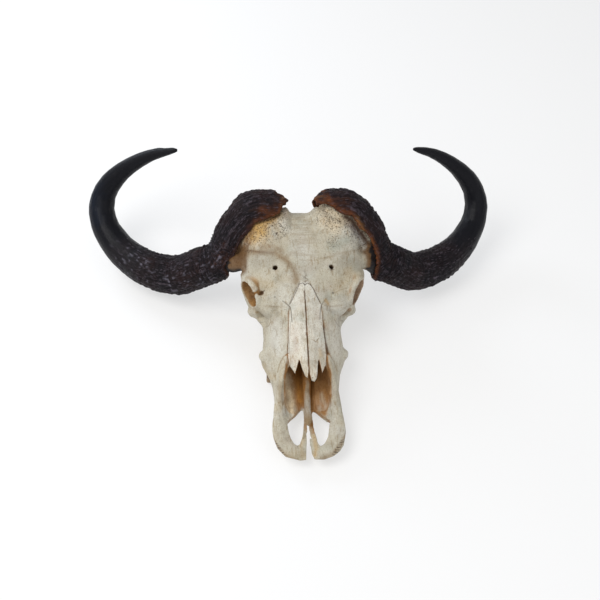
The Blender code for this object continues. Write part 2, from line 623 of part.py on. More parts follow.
def add_teeth(maxilla, word, cutters):
    """Cheek teeth, sunk well into the jaw and grown together with it."""
    side = SIDES[word]
    rng = random.Random(SEED + side)
    row = np.array(TOOTH_ROW_X[word])
    back = TOOTH_ROW_START
    for length, half_width, lobes, short in TEETH:
        length *= rng.uniform(1 - TOOTH_VARIATION, 1 + TOOTH_VARIATION)
        width = half_width * rng.uniform(1 - TOOTH_VARIATION, 1 + TOOTH_VARIATION)
        for k in range(lobes):
            y = back + length * (k + 0.5) / lobes
            x = side * float(np.interp(y, row[:, 0], row[:, 1]))
            half_length = LOBE_OVERLAP * length / lobes / 2
            boolean(maxilla, tooth_lobe((x, y), half_length, width, short, cutters), "UNION")
        back += length


def seat_nasals(bones, group, cutters):
    """Lay the nasals on the nose, each in a seat cut from every bone round it."""
    for word in SIDES:
        bones["nasal_" + word] = nasal_bone(word, group, cutters)
        seat = nasal_bone(word, cutters, cutters, grow=SUTURE, top=SEAT_HEIGHT)
        for label in ("cranium", "maxilla_left", "maxilla_right", "premaxilla_left", "premaxilla_right"):
            boolean(bones[label], copy_of(seat, "seat", cutters), "DIFFERENCE")
        bpy.data.objects.remove(seat, do_unlink=True)


def build_vomer(bones, group, cutters):
    """Keel along the floor of the nose, let into the bones on both sides of it."""
    vomer = tube("vomer", VOMER, group, sides=12)
    for label, bone in bones.items():
        if label.startswith(("maxilla", "premaxilla")):
            boolean(vomer, grown_copy(bone, SUTURE, cutters), "DIFFERENCE", crossed=True)
    bones["vomer"] = vomer


def rim_cutter(word, cutters):
    """Block over the forehead, on the inner side of the edge of the sheath."""
    up = Vector((0, math.cos(BROW_SLOPE), math.sin(BROW_SLOPE)))
    out = Vector((0, -math.sin(BROW_SLOPE), math.cos(BROW_SLOPE)))
    edge = RIM[word]
    outline = edge + [(-RIM_PAST_MIDLINE, edge[-1][1]), (-RIM_PAST_MIDLINE, edge[0][1])]
    rings = [[Vector((SIDES[word] * x, 0, 0)) + up * rise + out * depth for x, rise in outline]
             for depth in RIM_DEPTHS]
    return ring_solid("rim", rings, cutters)


def horn_path(word, side):
    """Stations of one horn, with what sets it apart from the other."""
    path = []
    for x, back, up, wide, thick in HORN:
        outer = min(1.0, max(0.0, (back - GIRTH_FROM) / GIRTH_RAMP))
        bend = math.exp(-((x - WAIST_X) / WAIST_REACH) ** 2)
        girth = 1 + (HORN_GIRTH[word] - 1) * outer + (HORN_WAIST[word] - 1) * bend
        path.append((side * x, back, up, wide * girth, thick * girth))
    return path


def core_path(word, side):
    """Stations of the bony core, a wall's thickness inside its horn."""
    core = [(*row[:3], row[3] - HORN_WALL, row[4] - HORN_WALL) for row in horn_path(word, side)]
    start = (side * CORE_START_X, *core[0][1:])
    return [start, *core[2:CORE_STATIONS], *mirrored([CORE_END], side)]


def sheath_hollow(word, side, cutters):
    """The empty inner end of a sheath, where it has come away from the bone."""
    path = horn_path(word, side)[:HOLLOW_STATIONS]
    rows = [(*row[:3], row[3] - SHEATH_WALL, row[4] - SHEATH_WALL) for row in path]
    return tube("hollow", [(side * HOLLOW_START_X, *rows[0][1:]), *rows[1:]], cutters, up=HORN_UP)


def build_horns(bones, group, cutters):
    """Horny sheaths, hollow where they fit over the cores."""
    for word, side in SIDES.items():
        horn = tube("horn", horn_path(word, side), group, sides=28, up=HORN_UP)
        reskin(horn, HORN_FACES)
        boolean(horn, grown_copy(bones["cranium"], SHEATH_GAP, cutters), "DIFFERENCE", crossed=True)
        boolean(horn, sheath_hollow(word, side, cutters), "DIFFERENCE")
        boolean(horn, rim_cutter(word, cutters), "DIFFERENCE")
        bones["horn_" + word] = horn


def finish(bones):
    """Name, colour and rest the nodes, with the floor at zero under the middle of the box."""
    corners = []
    for label, bone in bones.items():
        keep_largest(bone)
        bone.name = label
        bone.data.name = label
        colour, roughness = LOOKS[label.split("_")[0]]
        bone.data.materials.clear()
        bone.data.materials.append(make_material(label, colour, roughness))
        corners += [vert.co.copy() for vert in bone.data.vertices]
    corners = np.array(corners)
    low, high = corners.min(axis=0), corners.max(axis=0)
    shift = Vector((-(low[0] + high[0]) / 2, -(low[1] + high[1]) / 2, -low[2]))
    for bone in bones.values():
        for vert in bone.data.vertices:
            vert.co += shift


def level_base(cranium, cutters):
    """Cut the feet of the base flat where they touch the floor."""
    floor = slab("floor", [(-FAR, 0), (FAR, 0), (FAR, FAR), (-FAR, FAR)], -FAR, 0.0, "z", cutters)
    boolean(cranium, floor, "DIFFERENCE")


def main():
    clear_scene()
    group = make_collection(NAME)
    cutters = make_collection("cutters", hidden=True)
    skull = build_rough_skull(group)
    reskin(skull, SKULL_FACES)
    cut_openings(skull, cutters)
    bones = split_skull(skull, group, cutters)
    level_base(bones["cranium"], cutters)
    seat_nasals(bones, group, cutters)
    for word in SIDES:
        add_teeth(bones["maxilla_" + word], word, cutters)
    build_vomer(bones, group, cutters)
    build_horns(bones, group, cutters)
    finish(bones)


main()
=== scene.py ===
"""Looks of the buffalo skull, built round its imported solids.

Metres, +Z up. The nose points to -Y and the animal's left side is +X. Marks are placed by where
they show in the photograph, 600 by 600 pixels: a place in the picture is carried along the
camera's line of sight until it meets the skull. Left and right are the animal's own, but in the
names of marks they are the picture's.
"""
import math

import bmesh
import bpy
import numpy as np
from mathutils import Matrix, Vector
from mathutils.bvhtree import BVHTree
from mathutils.kdtree import KDTree


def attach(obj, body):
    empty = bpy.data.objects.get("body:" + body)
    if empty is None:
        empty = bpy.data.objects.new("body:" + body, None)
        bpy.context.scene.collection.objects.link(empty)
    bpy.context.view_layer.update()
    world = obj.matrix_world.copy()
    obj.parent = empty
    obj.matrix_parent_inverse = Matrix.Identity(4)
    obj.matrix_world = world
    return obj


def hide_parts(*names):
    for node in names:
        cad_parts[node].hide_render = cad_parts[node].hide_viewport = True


MM = 0.001
SIDES = (("left", 1), ("right", -1))

# places on the skull are given from the tip of the nose, to the side, back and up, as in the
# part's source; this moves them to the frame
TO_FRAME = Vector((0.00091, -0.32633, 0.0))

# camera: where it stands, its right, its up and the way back to it, and its angle of view
EYE = Vector((-0.1846, -0.8127, 1.5692)) + TO_FRAME
EYE_RIGHT = Vector((0.99504, -0.07520, 0.06507))
EYE_UP = Vector((0.01911, 0.78671, 0.61703))
EYE_BACK = Vector((-0.09758, -0.61272, 0.78425))
LENS_MM = 56.857
SENSOR_MM = 36.0
PICTURE = 600
FOCAL = LENS_MM / SENSOR_MM * PICTURE

# stage: lights with their place, aim, size, power and colour, the sky, the wall and the floor
LIGHTS = {
    "key": ((-1.35, -0.45, 2.3), (0, 0, 0.1), 1.7, 37, (1.0, 0.985, 0.96)),
    "fill": ((1.4, -1.6, 1.5), (0, 0, 0.1), 1.8, 8, (0.96, 0.98, 1.0)),
    "back": ((-1.3, 1.5, 1.1), (-0.1, 0.1, 0.1), 1.0, 15, (0.80, 0.88, 1.0)),
}
SKY = {"Color": (0.98, 0.99, 1.0, 1), "Strength": 0.50}
WALL = {"Color": (0.93, 0.93, 0.93, 1)}
FLOOR = {"Base Color": (0.44, 0.44, 0.44, 1), "Emission Color": (1, 1, 1, 1),
         "Emission Strength": 0.53, "Roughness": 0.9, "Specular IOR Level": 0.1}
FLOOR_RADIUS = 6.0

# how fine each kind of piece is skinned, and how many rounds take its facets off: everywhere,
# and where it is free to move
FINENESS = {"skull": 1.9 * MM, "premaxilla": 0.9 * MM, "nasal": 0.65 * MM, "vomer": 0.8 * MM,
            "horn": 1.85 * MM}
CALM_ROUNDS = {"skull": (10, 60), "premaxilla": (12, 25), "nasal": (3, 6), "vomer": (6, 10),
               "horn": (6, 60)}
# the solids are swelled by the overlap before they are skinned, and sunk by it afterwards
OVERLAP = 0.25 * MM
SUTURE = 0.3 * MM
MOST_TRIANGLES = 190000
HORN_TRIANGLES = 140000
FAR = 0.6

# an edge is sharp from this angle on; a point is held near it, and where the wall is thin
SHARP_ANGLE = math.radians(48)
SHARP_STEP = 2 * MM
HELD_BY_EDGE = (1.5 * MM, 8 * MM)
HELD_BY_THINNESS = (4 * MM, 22 * MM)
MOST_THICKNESS = 40 * MM

# the seam between braincase and upper jaws, seen from the side: back and up
SEAM_FOOT, SEAM_HEAD = -0.02, 0.24
CRANIUM_SEAM = [(0.346, SEAM_FOOT), (0.345, 0.048), (0.322, 0.064), (0.300, 0.074),
                (0.287, 0.096), (0.279, 0.125), (0.274, 0.150), (0.272, SEAM_HEAD)]
SEAM_WIDTH = 1.5 * MM

# one horn along its middle, from the forehead to the tip, for the animal's left
HORN_LINE = [(0.014, 0.453, 0.220), (0.050, 0.460, 0.220), (0.090, 0.461, 0.211),
             (0.124, 0.443, 0.178), (0.156, 0.415, 0.130), (0.187, 0.420, 0.106),
             (0.220, 0.425, 0.080), (0.253, 0.4335, 0.0615), (0.310, 0.4605, 0.056),
             (0.357, 0.4985, 0.0638), (0.385, 0.535, 0.078), (0.3997, 0.579, 0.1115),
             (0.392, 0.597, 0.1345), (0.3745, 0.6065, 0.1605), (0.348, 0.6115, 0.1875),
             (0.315, 0.6105, 0.215), (0.282, 0.604, 0.2385), (0.2365, 0.5863, 0.2648)]
LINE_STEPS = 24

# colours of old bone and horn, as light
IVORY = (0.535, 0.50, 0.40)
CHALK = (0.62, 0.605, 0.54)
BLEACHED = (0.74, 0.71, 0.62)
BUTTER = (0.70, 0.575, 0.39)
CREAM = (0.50, 0.42, 0.28)
BUFF = (0.38, 0.35, 0.28)
GOLD = (0.56, 0.355, 0.125)
SAND = (0.29, 0.205, 0.115)
RUST = (0.135, 0.060, 0.022)
UMBER = (0.045, 0.021, 0.010)
MOSS = (0.36, 0.39, 0.33)
ROSE = (0.46, 0.36, 0.29)
SLATE_SHADE = (0.24, 0.235, 0.25)
AMBER = (0.40, 0.195, 0.045)
NOSE_BROWN = (0.36, 0.165, 0.040)
DEEP_GOLD = (0.62, 0.30, 0.07)
TOOTH = (0.36, 0.26, 0.15)
STAIN = (0.155, 0.080, 0.030)
FIBRE_BROWN = (0.21, 0.105, 0.035)
DIRT = (0.60, 0.47, 0.33)
BLACK_HORN = (0.0042, 0.0044, 0.0066)
BROWN_HORN = (0.0165, 0.0075, 0.0072)
PAINTED_BLUE_SHEEN = (0.0040, 0.0066, 0.0135)
EDGE_HORN = (0.112, 0.036, 0.011)
AMBER_HORN = (0.22, 0.100, 0.032)
PALE_FLECK_HIGHLIGHT = (0.105, 0.086, 0.104)
FROST_HIGHLIGHT = (0.20, 0.19, 0.235)
LIT_FIBRE = (1.8, 1.65, 1.7)

# how fine the patterns of the finishes are, in repeats to the metre
PATTERNS = {"blotch": 55, "fine": 420, "speck": 640, "streak": 260, "pore": 250, "small pore": 470,
            "wrinkle": 240, "fibre": 480, "coarse fibre": 210, "fleck": 330, "gloss": 160}
BONE_RELIEF = 0.0012
HORN_RELIEF = 0.0034

# air over a point is tested with so many rays, once for each small cell of the surface
SHELTER_RAYS = 10
SHELTER_SEED = 5
SHELTER_START_MM = 2.2
SHELTER_REACH = 55 * MM
SHELTER_CELL = 3.0 * MM
# the wall behind a point is measured once for each small cell too, from just inside it
WALL_START_MM = 0.2
WALL_CELL = 2.5 * MM
MOST_CELLS = 4096

# places on the skull that have a colour or a relief of their own, each limit with where it
# starts to count and where it counts in full
EYE_SOCKET = (0.0985, 0.326, 0.132)
SOCKET_REACH = 0.041
# how far in the eye socket its painted shade starts and is full
SOCKET_SHADE_DEPTH = (0.094, 0.078)
CORE_BACK, CORE_TOP, CORE_FLOOR, CORE_END = (0.350, 0.362), (0.195, 0.18), 0.09, 0.44
STUMP_SIDE, STUMP_BACK, STUMP_TOP = -0.060, (0.190, 0.217), (0.034, 0.026)
NOSE_SIDE, NOSE_BACK, NOSE_FLOOR, NOSE_WALLS = 0.045, (0.075, 0.27), 0.012, (0.115, 0.135)
TOOTH_TOP = (0.026, 0.016)
DOME_BACK, DOME_SIDE = (0.385, 0.415), (0.016, 0.034)
BROW_BACK, BROW_SIDE = (0.335, 0.36), (0.014, 0.036)
CREST_BACK, CREST_END, CREST_UP = (0.435, 0.458), (0.485, 0.50), (0.175, 0.205)

# where the crest between the horns rises or falls: place across, width and height
CROWN_LIFTS = [(-0.0265, 0.0070, 9 * MM), (0.000, 0.0120, -1.5 * MM), (0.0260, 0.0090, 7 * MM)]

# stain at the foot of each horn core: where it starts, where it is brown, and where painted shade
# makes it black under the sheath
CORE_STAIN_AND_SHADE = {"left": (0.124, 0.134, 0.140), "right": (0.100, 0.116, 0.141)}

# patches all over the bone: colour, strength, lumps in mm, seed, octaves, and where they start
# and are full
BONE_PATCHES = [(CHALK, 0.55, 42, 21, 3, (-0.2, 0.9)), (CREAM, 0.50, 30, 31, 3, (0.1, 1.0)),
                (ROSE, 0.30, 24, 41, 2, (0.3, 1.1)), (MOSS, 0.30, 26, 51, 2, (0.3, 1.1))]

# horns: radius that their grain is laid round, and along each one, in metres from the forehead,
# where the boss, the rim, the rings, the ridges and the rough part begin or end
GRAIN_RADIUS = 0.04
BOSS_END = (0.16, 0.26)
RIM_END = (0.20, 0.27)
RINGS_BEGIN, RINGS_END = (0.135, 0.16), (0.22, 0.26)
RIDGES_BEGIN, RIDGES_END = (0.17, 0.24), (0.36, 0.46)
ROUGH_END = (0.33, 0.47)
SMOOTH_TIP = (0.62, 0.80)
RIDGE_SPACING = 0.0125
RING_SPACING = 0.0072
EDGE_WIDTH = (1 * MM, 9 * MM)
EDGE_GLOW = {"left": 0.85, "right": 0.40}
FIBRES = {"Number in a square metre": 23000.0, "Length": 4.2 * MM, "Width": 0.92 * MM,
          "Height": 1.1 * MM, "Seed": 7}
FIBRE_SIZES = (0.45, 1.35)

# pale specks on the bend of one horn, painted highlight on its fibre ridges: path in the picture
# and width in mm
FROST_HIGHLIGHT_PATH = [(130, 258), (148, 273), (172, 281), (200, 276), (222, 256)]
FROST_HIGHLIGHT_WIDTH = 42

# torn ends of a sheath that are worn round and drawn out towards the middle: place in the picture
WORN_END = {"right": (281, 201)}
WORN_REACH = (13 * MM, 20 * MM)
WORN_ROUNDS = 22
WORN_STRETCH = 7 * MM
STRETCH_REACH = (2 * MM, 24 * MM)

# a mark reaches a little past its width and has half its strength at the edge of its width; it
# wobbles, a narrow one less, and it is painted only near the depth that its path lies at
MARK_REACH = 1.6
MARK_MARGIN = 3
MARK_FALL = 0.69
MARK_WOBBLES = ((4 * MM, 11, 0.25), (14 * MM, 12, 0.3))
FULL_WOBBLE_AT = 8
MOST_WOBBLE, MOST_WOBBLE_AT = 0.5, 12
MARK_DEPTH = (8 * MM, 16 * MM)

# marks on the bone: path in the picture, width in mm, colour, strength and, where the mark is
# pressed in, its depth in mm
BONE_MARKS = {
    "gold of the left dome": ([(250, 233), (262, 229)], 30, GOLD, 0.9),
    "gold by the left sheath": ([(254, 227), (268, 222), (279, 214)], 12, GOLD, 0.9),
    # painted shadow: a thin dark line where the left sheath's edge stands over the dome
    "painted shadow under the left sheath": ([(282, 207), (279, 215.5), (266, 220.5), (255, 223.5)],
        5, RUST, 0.85),
    "cream of the left dome": ([(262, 243), (252, 240)], 22, BUTTER, 0.5),
    "fibres of the left core": ([(253, 228), (247.5, 238), (244, 249), (240, 259)],
        13, FIBRE_BROWN, 0.85),
    "foot of the left core": ([(234, 258), (240, 264)], 13, STAIN, 0.7),
    "dark edge of the left core": ([(246, 231), (238, 245), (231, 257), (227, 266)],
        7, UMBER, 0.95),
    "arc under the left dome": ([(240, 253), (250, 252), (262, 252.5), (275, 253.5), (286, 260),
        (294, 270), (297, 280)], 11, SAND, 0.85, 0.6),
    "arc under the right dome": ([(320, 259), (330, 257), (338, 253.5), (348, 252), (358, 250)],
        5, SAND, 0.35, 0.5),
    "light of the left dome": ([(284, 222), (287, 230)], 16, BLEACHED, 0.6),
    "brown specks by the left core": ([(252, 237), (248, 246), (246, 252)], 4, RUST, 0.5, 0.5),
    "rose of the left top": ([(285, 208), (286, 216)], 9, ROSE, 0.5),
    "rose by the right sheath": ([(345, 222), (352, 227)], 9, ROSE, 0.5),
    "cream of the right top": ([(322, 208), (336, 214), (343, 219)], 12, BUTTER, 0.6),
    "moss of the right dome": ([(345, 240), (335, 246)], 16, MOSS, 0.5),
    # painted shade: grey beside the edge of the right sheath
    "painted shade by the right sheath": ([(353, 226), (359, 236), (364, 246)], 12, SLATE_SHADE, 0.6),
    # painted shade in the gap under the right sheath's lip, which is also pressed in a little
    "painted shade under the right lip": ([(345.2, 216.8), (351.9, 220.3), (356.9, 227.8), (362.5, 235.3),
        (367.5, 242.3), (371, 251), (372.4, 263)], 12, UMBER, 1.0, 0.8),
    "fibres of the right core": ([(367, 256), (370, 266)], 10, FIBRE_BROWN, 0.7),
    "moss of the right brow": ([(352, 258), (355, 268)], 12, MOSS, 0.4),
    "cream of the right cheek": ([(345, 280), (338, 286)], 20, CREAM, 0.5),
    "cream of the left cheek": ([(258, 280), (268, 288)], 20, CREAM, 0.4),
    "chalk of the midline": ([(302, 230), (303, 262)], 22, CHALK, 0.35),
    "heart of the left gold": ([(256, 227), (262, 233), (254, 238)], 13, GOLD, 0.7),
    "sand of the left dome": ([(262, 247), (272, 246), (282, 251)], 10, SAND, 0.6),
    "dots over the left arc": ([(247, 250.5), (256, 251.5), (264, 252), (273, 253)], 3, RUST, 0.6),
    "shade of the left brow": ([(254, 263), (268, 260)], 26, BUFF, 0.75),
    "shade of the right brow": ([(340, 263), (354, 262)], 24, BUFF, 0.7),
    "shade of the low midline": ([(296, 268), (312, 268)], 20, BUFF, 0.4),
    "warmth of the right dome": ([(326, 222), (336, 226)], 22, BUTTER, 0.75),
    "cream beside the left arc": ([(290, 278), (296, 284)], 8, SAND, 0.4),
    "gold of the right brow": ([(350, 272), (358, 278)], 15, GOLD, 0.2),
    "chalk of the left jaw": ([(276, 326), (278, 350)], 26, CHALK, 0.9),
    "sand of the left muzzle": ([(280, 388), (282, 402)], 11, SAND, 0.55),
    "buff of the right muzzle": ([(336, 392), (338, 404)], 10, BUFF, 0.6),
    # painted shade: the brow holes are pressed in and painted dark umber for the shade inside them
    "left brow hole": ([(275.3, 268)], 6.3, UMBER, 1.0, 1.8),
    "right brow hole": ([(331.7, 269)], 5.6, UMBER, 1.0, 1.6),
    "left brow groove": ([(275.6, 270), (276.4, 274)], 3.0, SAND, 0.6, 0.3),
    "right brow groove": ([(332, 271), (332.6, 275)], 2.8, SAND, 0.6, 0.3),
    "crack over the nose": ([(304.5, 271), (306, 275), (304.5, 279), (306, 283)],
        1.3, UMBER, 0.5, 0.3),
    # painted shade: the pits are painted dark umber for the shade inside them
    "pits over the nose": ([(302.5, 276), (308.5, 280)], 1.4, UMBER, 0.45, 0.4),
    # painted shade: the tear hole is pressed in and painted dark umber for the shade inside it
    "left tear hole": ([(254.5, 293.5), (257.5, 291.8), (259.5, 294), (262, 293)],
        3.6, UMBER, 1.0, 2.6),
    "left tear crack": ([(261.5, 293.6), (264.5, 290.5)], 1.6, UMBER, 0.8, 1.0),
    # painted shade: the small holes and the dome hole are painted dark umber for the shade inside
    # them
    "left small hole": ([(275, 297)], 2.0, UMBER, 0.9, 1.2),
    "right small hole": ([(333, 293)], 2.6, UMBER, 0.95, 1.4),
    "left dome hole": ([(282.6, 232.4)], 1.7, UMBER, 0.8, 0.8),
    "right tear suture": ([(335, 292.5), (341, 289.5), (347, 288)], 1.2, SAND, 0.5, 0.3),
    "left nose gap": ([(282.5, 301), (285, 302.5), (288, 305), (290, 307), (291.2, 311),
        (291.5, 316), (292, 322)], 1.4, UMBER, 0.7, 0.7),
    "right nose gap": ([(326, 298.5), (324.5, 301), (322, 304), (320.8, 308), (320.2, 313),
        (320, 319)], 1.4, UMBER, 0.65, 0.6),
    "left nose gap branch": ([(290, 307), (288.6, 311), (288, 318)], 1.2, RUST, 0.4, 0.3),
    "right nose gap branch": ([(321.5, 306), (322.6, 311), (323.5, 317), (325, 320)],
        1.2, RUST, 0.4, 0.3),
    "gold at the right gap": ([(325.5, 300), (328, 304)], 5, GOLD, 0.6),
    "left cheek suture": ([(271, 316), (270.6, 322), (268, 326.5), (262, 327.5)],
        1.3, SAND, 0.7, 0.4),
    "left lower suture": ([(284, 320), (282.5, 325), (282, 329)], 1.2, SAND, 0.6, 0.3),
    "right cheek suture": ([(334.5, 319.5), (336.5, 323), (339, 326.3), (342.5, 325.5)],
        1.5, RUST, 0.6, 0.5),
    "left step line": ([(264, 306), (274, 306.8), (286, 307)], 2.4, SAND, 0.35, 0.3),
    "right step line": ([(325, 305.5), (333, 306.8), (343, 305)], 2.4, SAND, 0.4, 0.3),
    "streak below the left eye": ([(272, 322), (277, 315)], 6, SAND, 0.25),
    "chalk below the right eye": ([(333, 310), (339, 312)], 14, CHALK, 0.6),
    "left top suture": ([(290, 304), (293.5, 297), (297, 289.5), (299.5, 284), (303, 282.8),
        (305, 285)], 1.5, UMBER, 0.75, 0.3),
    "right top suture": ([(305, 285), (307.5, 283), (310.5, 284.8), (313.5, 289), (316, 295),
        (320.5, 303)], 1.5, UMBER, 0.75, 0.3),
    "shade of the low nasals": ([(311, 343), (313, 362)], 20, BUFF, 0.35),
    "suture between the nasals": ([(304, 291), (305, 300), (305.8, 312), (306.3, 325), (307, 338),
        (307.8, 350), (308.2, 366)], 1.6, RUST, 0.85, 0.3),
    "lump below the left eye": ([(252, 309), (257, 315)], 20, CREAM, 0.55),
    "light of that lump": ([(251, 312), (255, 317)], 9, CHALK, 0.5),
    "lump below the right eye": ([(352, 308), (346, 316)], 16, IVORY, 0.6),
    "shade of the right nasal": ([(312, 298), (313, 330)], 17, BUFF, 0.15),
    "knot on that suture": ([(306.4, 333), (306.6, 335)], 3.0, RUST, 0.8),
    "upper stain of that suture": ([(305.3, 302), (305.8, 310)], 2.8, SAND, 0.7),
    "chip on the right nasal": ([(313.3, 340), (316, 342), (318.6, 338.5)], 1.3, SAND, 0.8, 0.6),
    # painted shade: dark umber for the shade inside the pit
    "pit in the nasal tip": ([(312.6, 377.8)], 1.8, UMBER, 0.9, 0.8),
    "stain of the left nasal": ([(295, 338), (296, 350)], 9, ROSE, 0.5),
    "stain of the right nasal": ([(320, 350), (321, 355)], 6, GOLD, 0.4),
    "left side of the nasals": ([(290.5, 322), (289.8, 335), (289.3, 352)], 1.1, UMBER, 0.35, 0.2),
    "right side of the nasals": ([(321, 322), (324.5, 333), (326.3, 350)], 1.1, SAND, 0.6, 0.2),
    "left nose seam": ([(289, 353), (283.5, 356.5), (280, 363), (277.5, 372)], 1.3, SAND, 0.9, 0.3),
    "right nose seam": ([(327, 351.5), (330.5, 356), (334, 362), (337, 371)], 1.3, SAND, 0.9, 0.3),
    "gum edge": ([(262, 365), (267, 372), (271, 378)], 10, CREAM, 0.7),
    "chalk of the right jaw": ([(332, 328), (336, 352)], 24, BLEACHED, 0.7),
    "rim of the left nose tip": ([(272, 437), (277, 446), (285, 455), (296, 459.5)], 7, SAND, 0.6),
    "rim of the right nose tip": ([(345, 436), (340, 446), (332, 455), (322, 459)], 7, SAND, 0.6),
    "cream of the left bar": ([(304, 436), (301, 447), (303, 455)], 8, CREAM, 0.8),
    "gold of the right bar": ([(314, 436), (316, 447), (315, 455)], 8, GOLD, 0.5),
}

# short dark ticks stand across the lower margins of the nose
for tick in range(7):
    strength = 0.5 + 0.35 * (tick % 2)
    BONE_MARKS["left tick %d" % tick] = ([(271.5 + 1.7 * tick, 440 + 2.6 * tick),
        (275.5 + 1.6 * tick, 441.5 + 2.2 * tick)], 1.7, UMBER, strength, 0.6)
    BONE_MARKS["right tick %d" % tick] = ([(345.5 - 1.6 * tick, 439 + 2.7 * tick),
        (341.5 - 1.5 * tick, 440.5 + 2.3 * tick)], 1.7, UMBER, strength, 0.6)

# marks on the walls inside the nose, painted over the brown of its hollow
NOSE_MARKS = {
    "pale left wall": ([(287, 376), (289, 392), (291, 412)], 13, BUTTER, 1.0),
    "gold left back": ([(298, 366), (299, 385), (300, 400)], 9, DEEP_GOLD, 0.7),
    "right back": ([(316, 372), (318, 390)], 14, RUST, 0.3),
    "pale right patch": ([(324, 396), (325, 402)], 6, CREAM, 0.15),
    "right floor": ([(318, 412), (327, 420)], 7, SAND, 0.4),
    "line beside the left nasal": ([(291, 312), (290, 325), (289.4, 340), (288.6, 352)],
        5, UMBER, 0.8),
    "line beside the right nasal": ([(320.5, 316), (323.5, 330), (326, 342), (327.5, 353)],
        5, UMBER, 0.8),
    "line between the nasals": ([(304.5, 294), (306, 325), (307.5, 350), (308.3, 364)],
        3, UMBER, 0.55),
}

# marks on the horns
HORN_MARKS = {
    "left edge": ([(282, 204), (279, 214), (267, 218), (256, 221)], 8, EDGE_HORN, 0.75),
    "left edge ember": ([(262, 210), (270, 213)], 14, EDGE_HORN, 0.55),
    "left inner edge": ([(250, 228), (241, 240), (234, 254)], 5, BROWN_HORN, 0.75),
    "left torn end": ([(283, 198), (285, 203)], 6, AMBER_HORN, 0.6),
    "right edge": ([(327, 199), (336, 208), (350, 213)], 11, EDGE_HORN, 0.7),
    "right lower edge": ([(357, 220), (362, 231), (371, 238), (376, 250), (378, 262)],
        7, EDGE_HORN, 0.7),
    "right ribbon": ([(363, 231), (370, 238), (373, 244)], 3, AMBER_HORN, 0.45),
    "right thick spot": ([(357, 218), (360, 224), (362, 230)], 8, AMBER_HORN, 0.7),
    "right torn end": ([(312, 199), (318, 196.5), (324, 197)], 4, AMBER_HORN, 0.4),
    "right top edge": ([(327, 196), (331, 203)], 6, EDGE_HORN, 0.6),
    # painted sheen: a blue-grey highlight along the outer curve of the left horn
    "blue sheen of the left horn": ([(97, 222), (92, 200), (97, 178)], 24, PAINTED_BLUE_SHEEN, 0.9),
    # painted shade inside the hollow of the left torn end, which is also pressed in
    "shaded hollow of the left torn end": ([(283, 201), (283.5, 206)], 3.5, UMBER, 0.7, 1.0),
}


def sight(pixel):
    """Unit vector from the eye through a place in the picture."""
    across = (pixel[0] - PICTURE / 2) / FOCAL
    rise = (PICTURE / 2 - pixel[1]) / FOCAL
    return (EYE_RIGHT * across + EYE_UP * rise - EYE_BACK).normalized()


def seen_point(pixel):
    """Where the skull shows at a place in the picture."""
    return CAD_TREE.ray_cast(EYE, sight(pixel))[0]


def in_picture(points):
    """Where each point shows in the picture, and how far it is from the eye."""
    away = points - np.array(EYE)
    depth = -away @ np.array(EYE_BACK)
    across = PICTURE / 2 + FOCAL * (away @ np.array(EYE_RIGHT)) / depth
    down = PICTURE / 2 - FOCAL * (away @ np.array(EYE_UP)) / depth
    return np.stack([across, down], axis=1), depth


def ramp(low, high, value):
    """From 0 at low to 1 at high, with soft ends."""
    t = np.clip((value - low) / (high - low), 0.0, 1.0)
    return t * t * (3 - 2 * t)


def lattice(cells, seed):
    """Random values from 0 to 1 at whole-number places."""
    h = (cells[..., 0] * 374761393 + cells[..., 1] * 668265263 + cells[..., 2] * 2147483647
         + seed * 974634777)
    h = (h ^ (h >> 13)) * 1274126177
    h = h ^ (h >> 16)
    return (h & 0xFFFFFF) / float(0xFFFFFF)


def cloud(points, size, seed, octaves=1):
    """Smooth random values between about -1 and 1 with lumps of the given size."""
    total = np.zeros(len(points))
    weight = 1.0
    for octave in range(octaves):
        scaled = points / (size / 2 ** octave)
        low = np.floor(scaled).astype(np.int64)
        part = scaled - low
        part = part * part * (3 - 2 * part)
        value = np.zeros(len(points))
        for corner in np.ndindex(2, 2, 2):
            share = np.prod(np.where(corner, part, 1 - part), axis=1)
            value += share * lattice(low + np.array(corner), seed + octave)
        total += weight * (2 * value - 1)
        weight *= 0.5
    return total


def neighbour_mean(values, links):
    """Mean of each vertex's neighbours."""
    count = len(values)
    first, second = links[:, 0], links[:, 1]
    degree = np.bincount(first, minlength=count) + np.bincount(second, minlength=count)
    result = np.empty_like(values)
    for k, column in enumerate(values.T):
        total = (np.bincount(first, column[second], count)
                 + np.bincount(second, column[first], count))
        result[:, k] = total / np.maximum(degree, 1)
    return result


def numbers(items, name, width, kind=np.float32):
    """One property of all the vertices, edges or faces of a mesh, a row for each."""
    values = np.empty(len(items) * width, kind)
    items.foreach_get(name, values)
    return values.reshape(-1, width)


def tree_of(meshes):
    """One search tree of the faces of all these meshes."""
    places, corners = [], []
    for mesh in meshes:
        mesh.calc_loop_triangles()
        faces = numbers(mesh.loop_triangles, "vertices", 3, np.int32)
        corners += (faces + len(places)).tolist()
        places += numbers(mesh.vertices, "co", 3).tolist()
    return BVHTree.FromPolygons(places, corners, all_triangles=True)


def away_from(points, marks, reach):
    """Distance from each point to the nearest mark, up to a reach."""
    finder = KDTree(len(marks))
    for k, mark in enumerate(marks):
        finder.insert(mark, k)
    finder.balance()
    result = np.full(len(points), reach)
    for k, place in enumerate(points):
        distance = finder.find(place)[2]
        if distance is not None:
            result[k] = min(distance, reach)
    return result


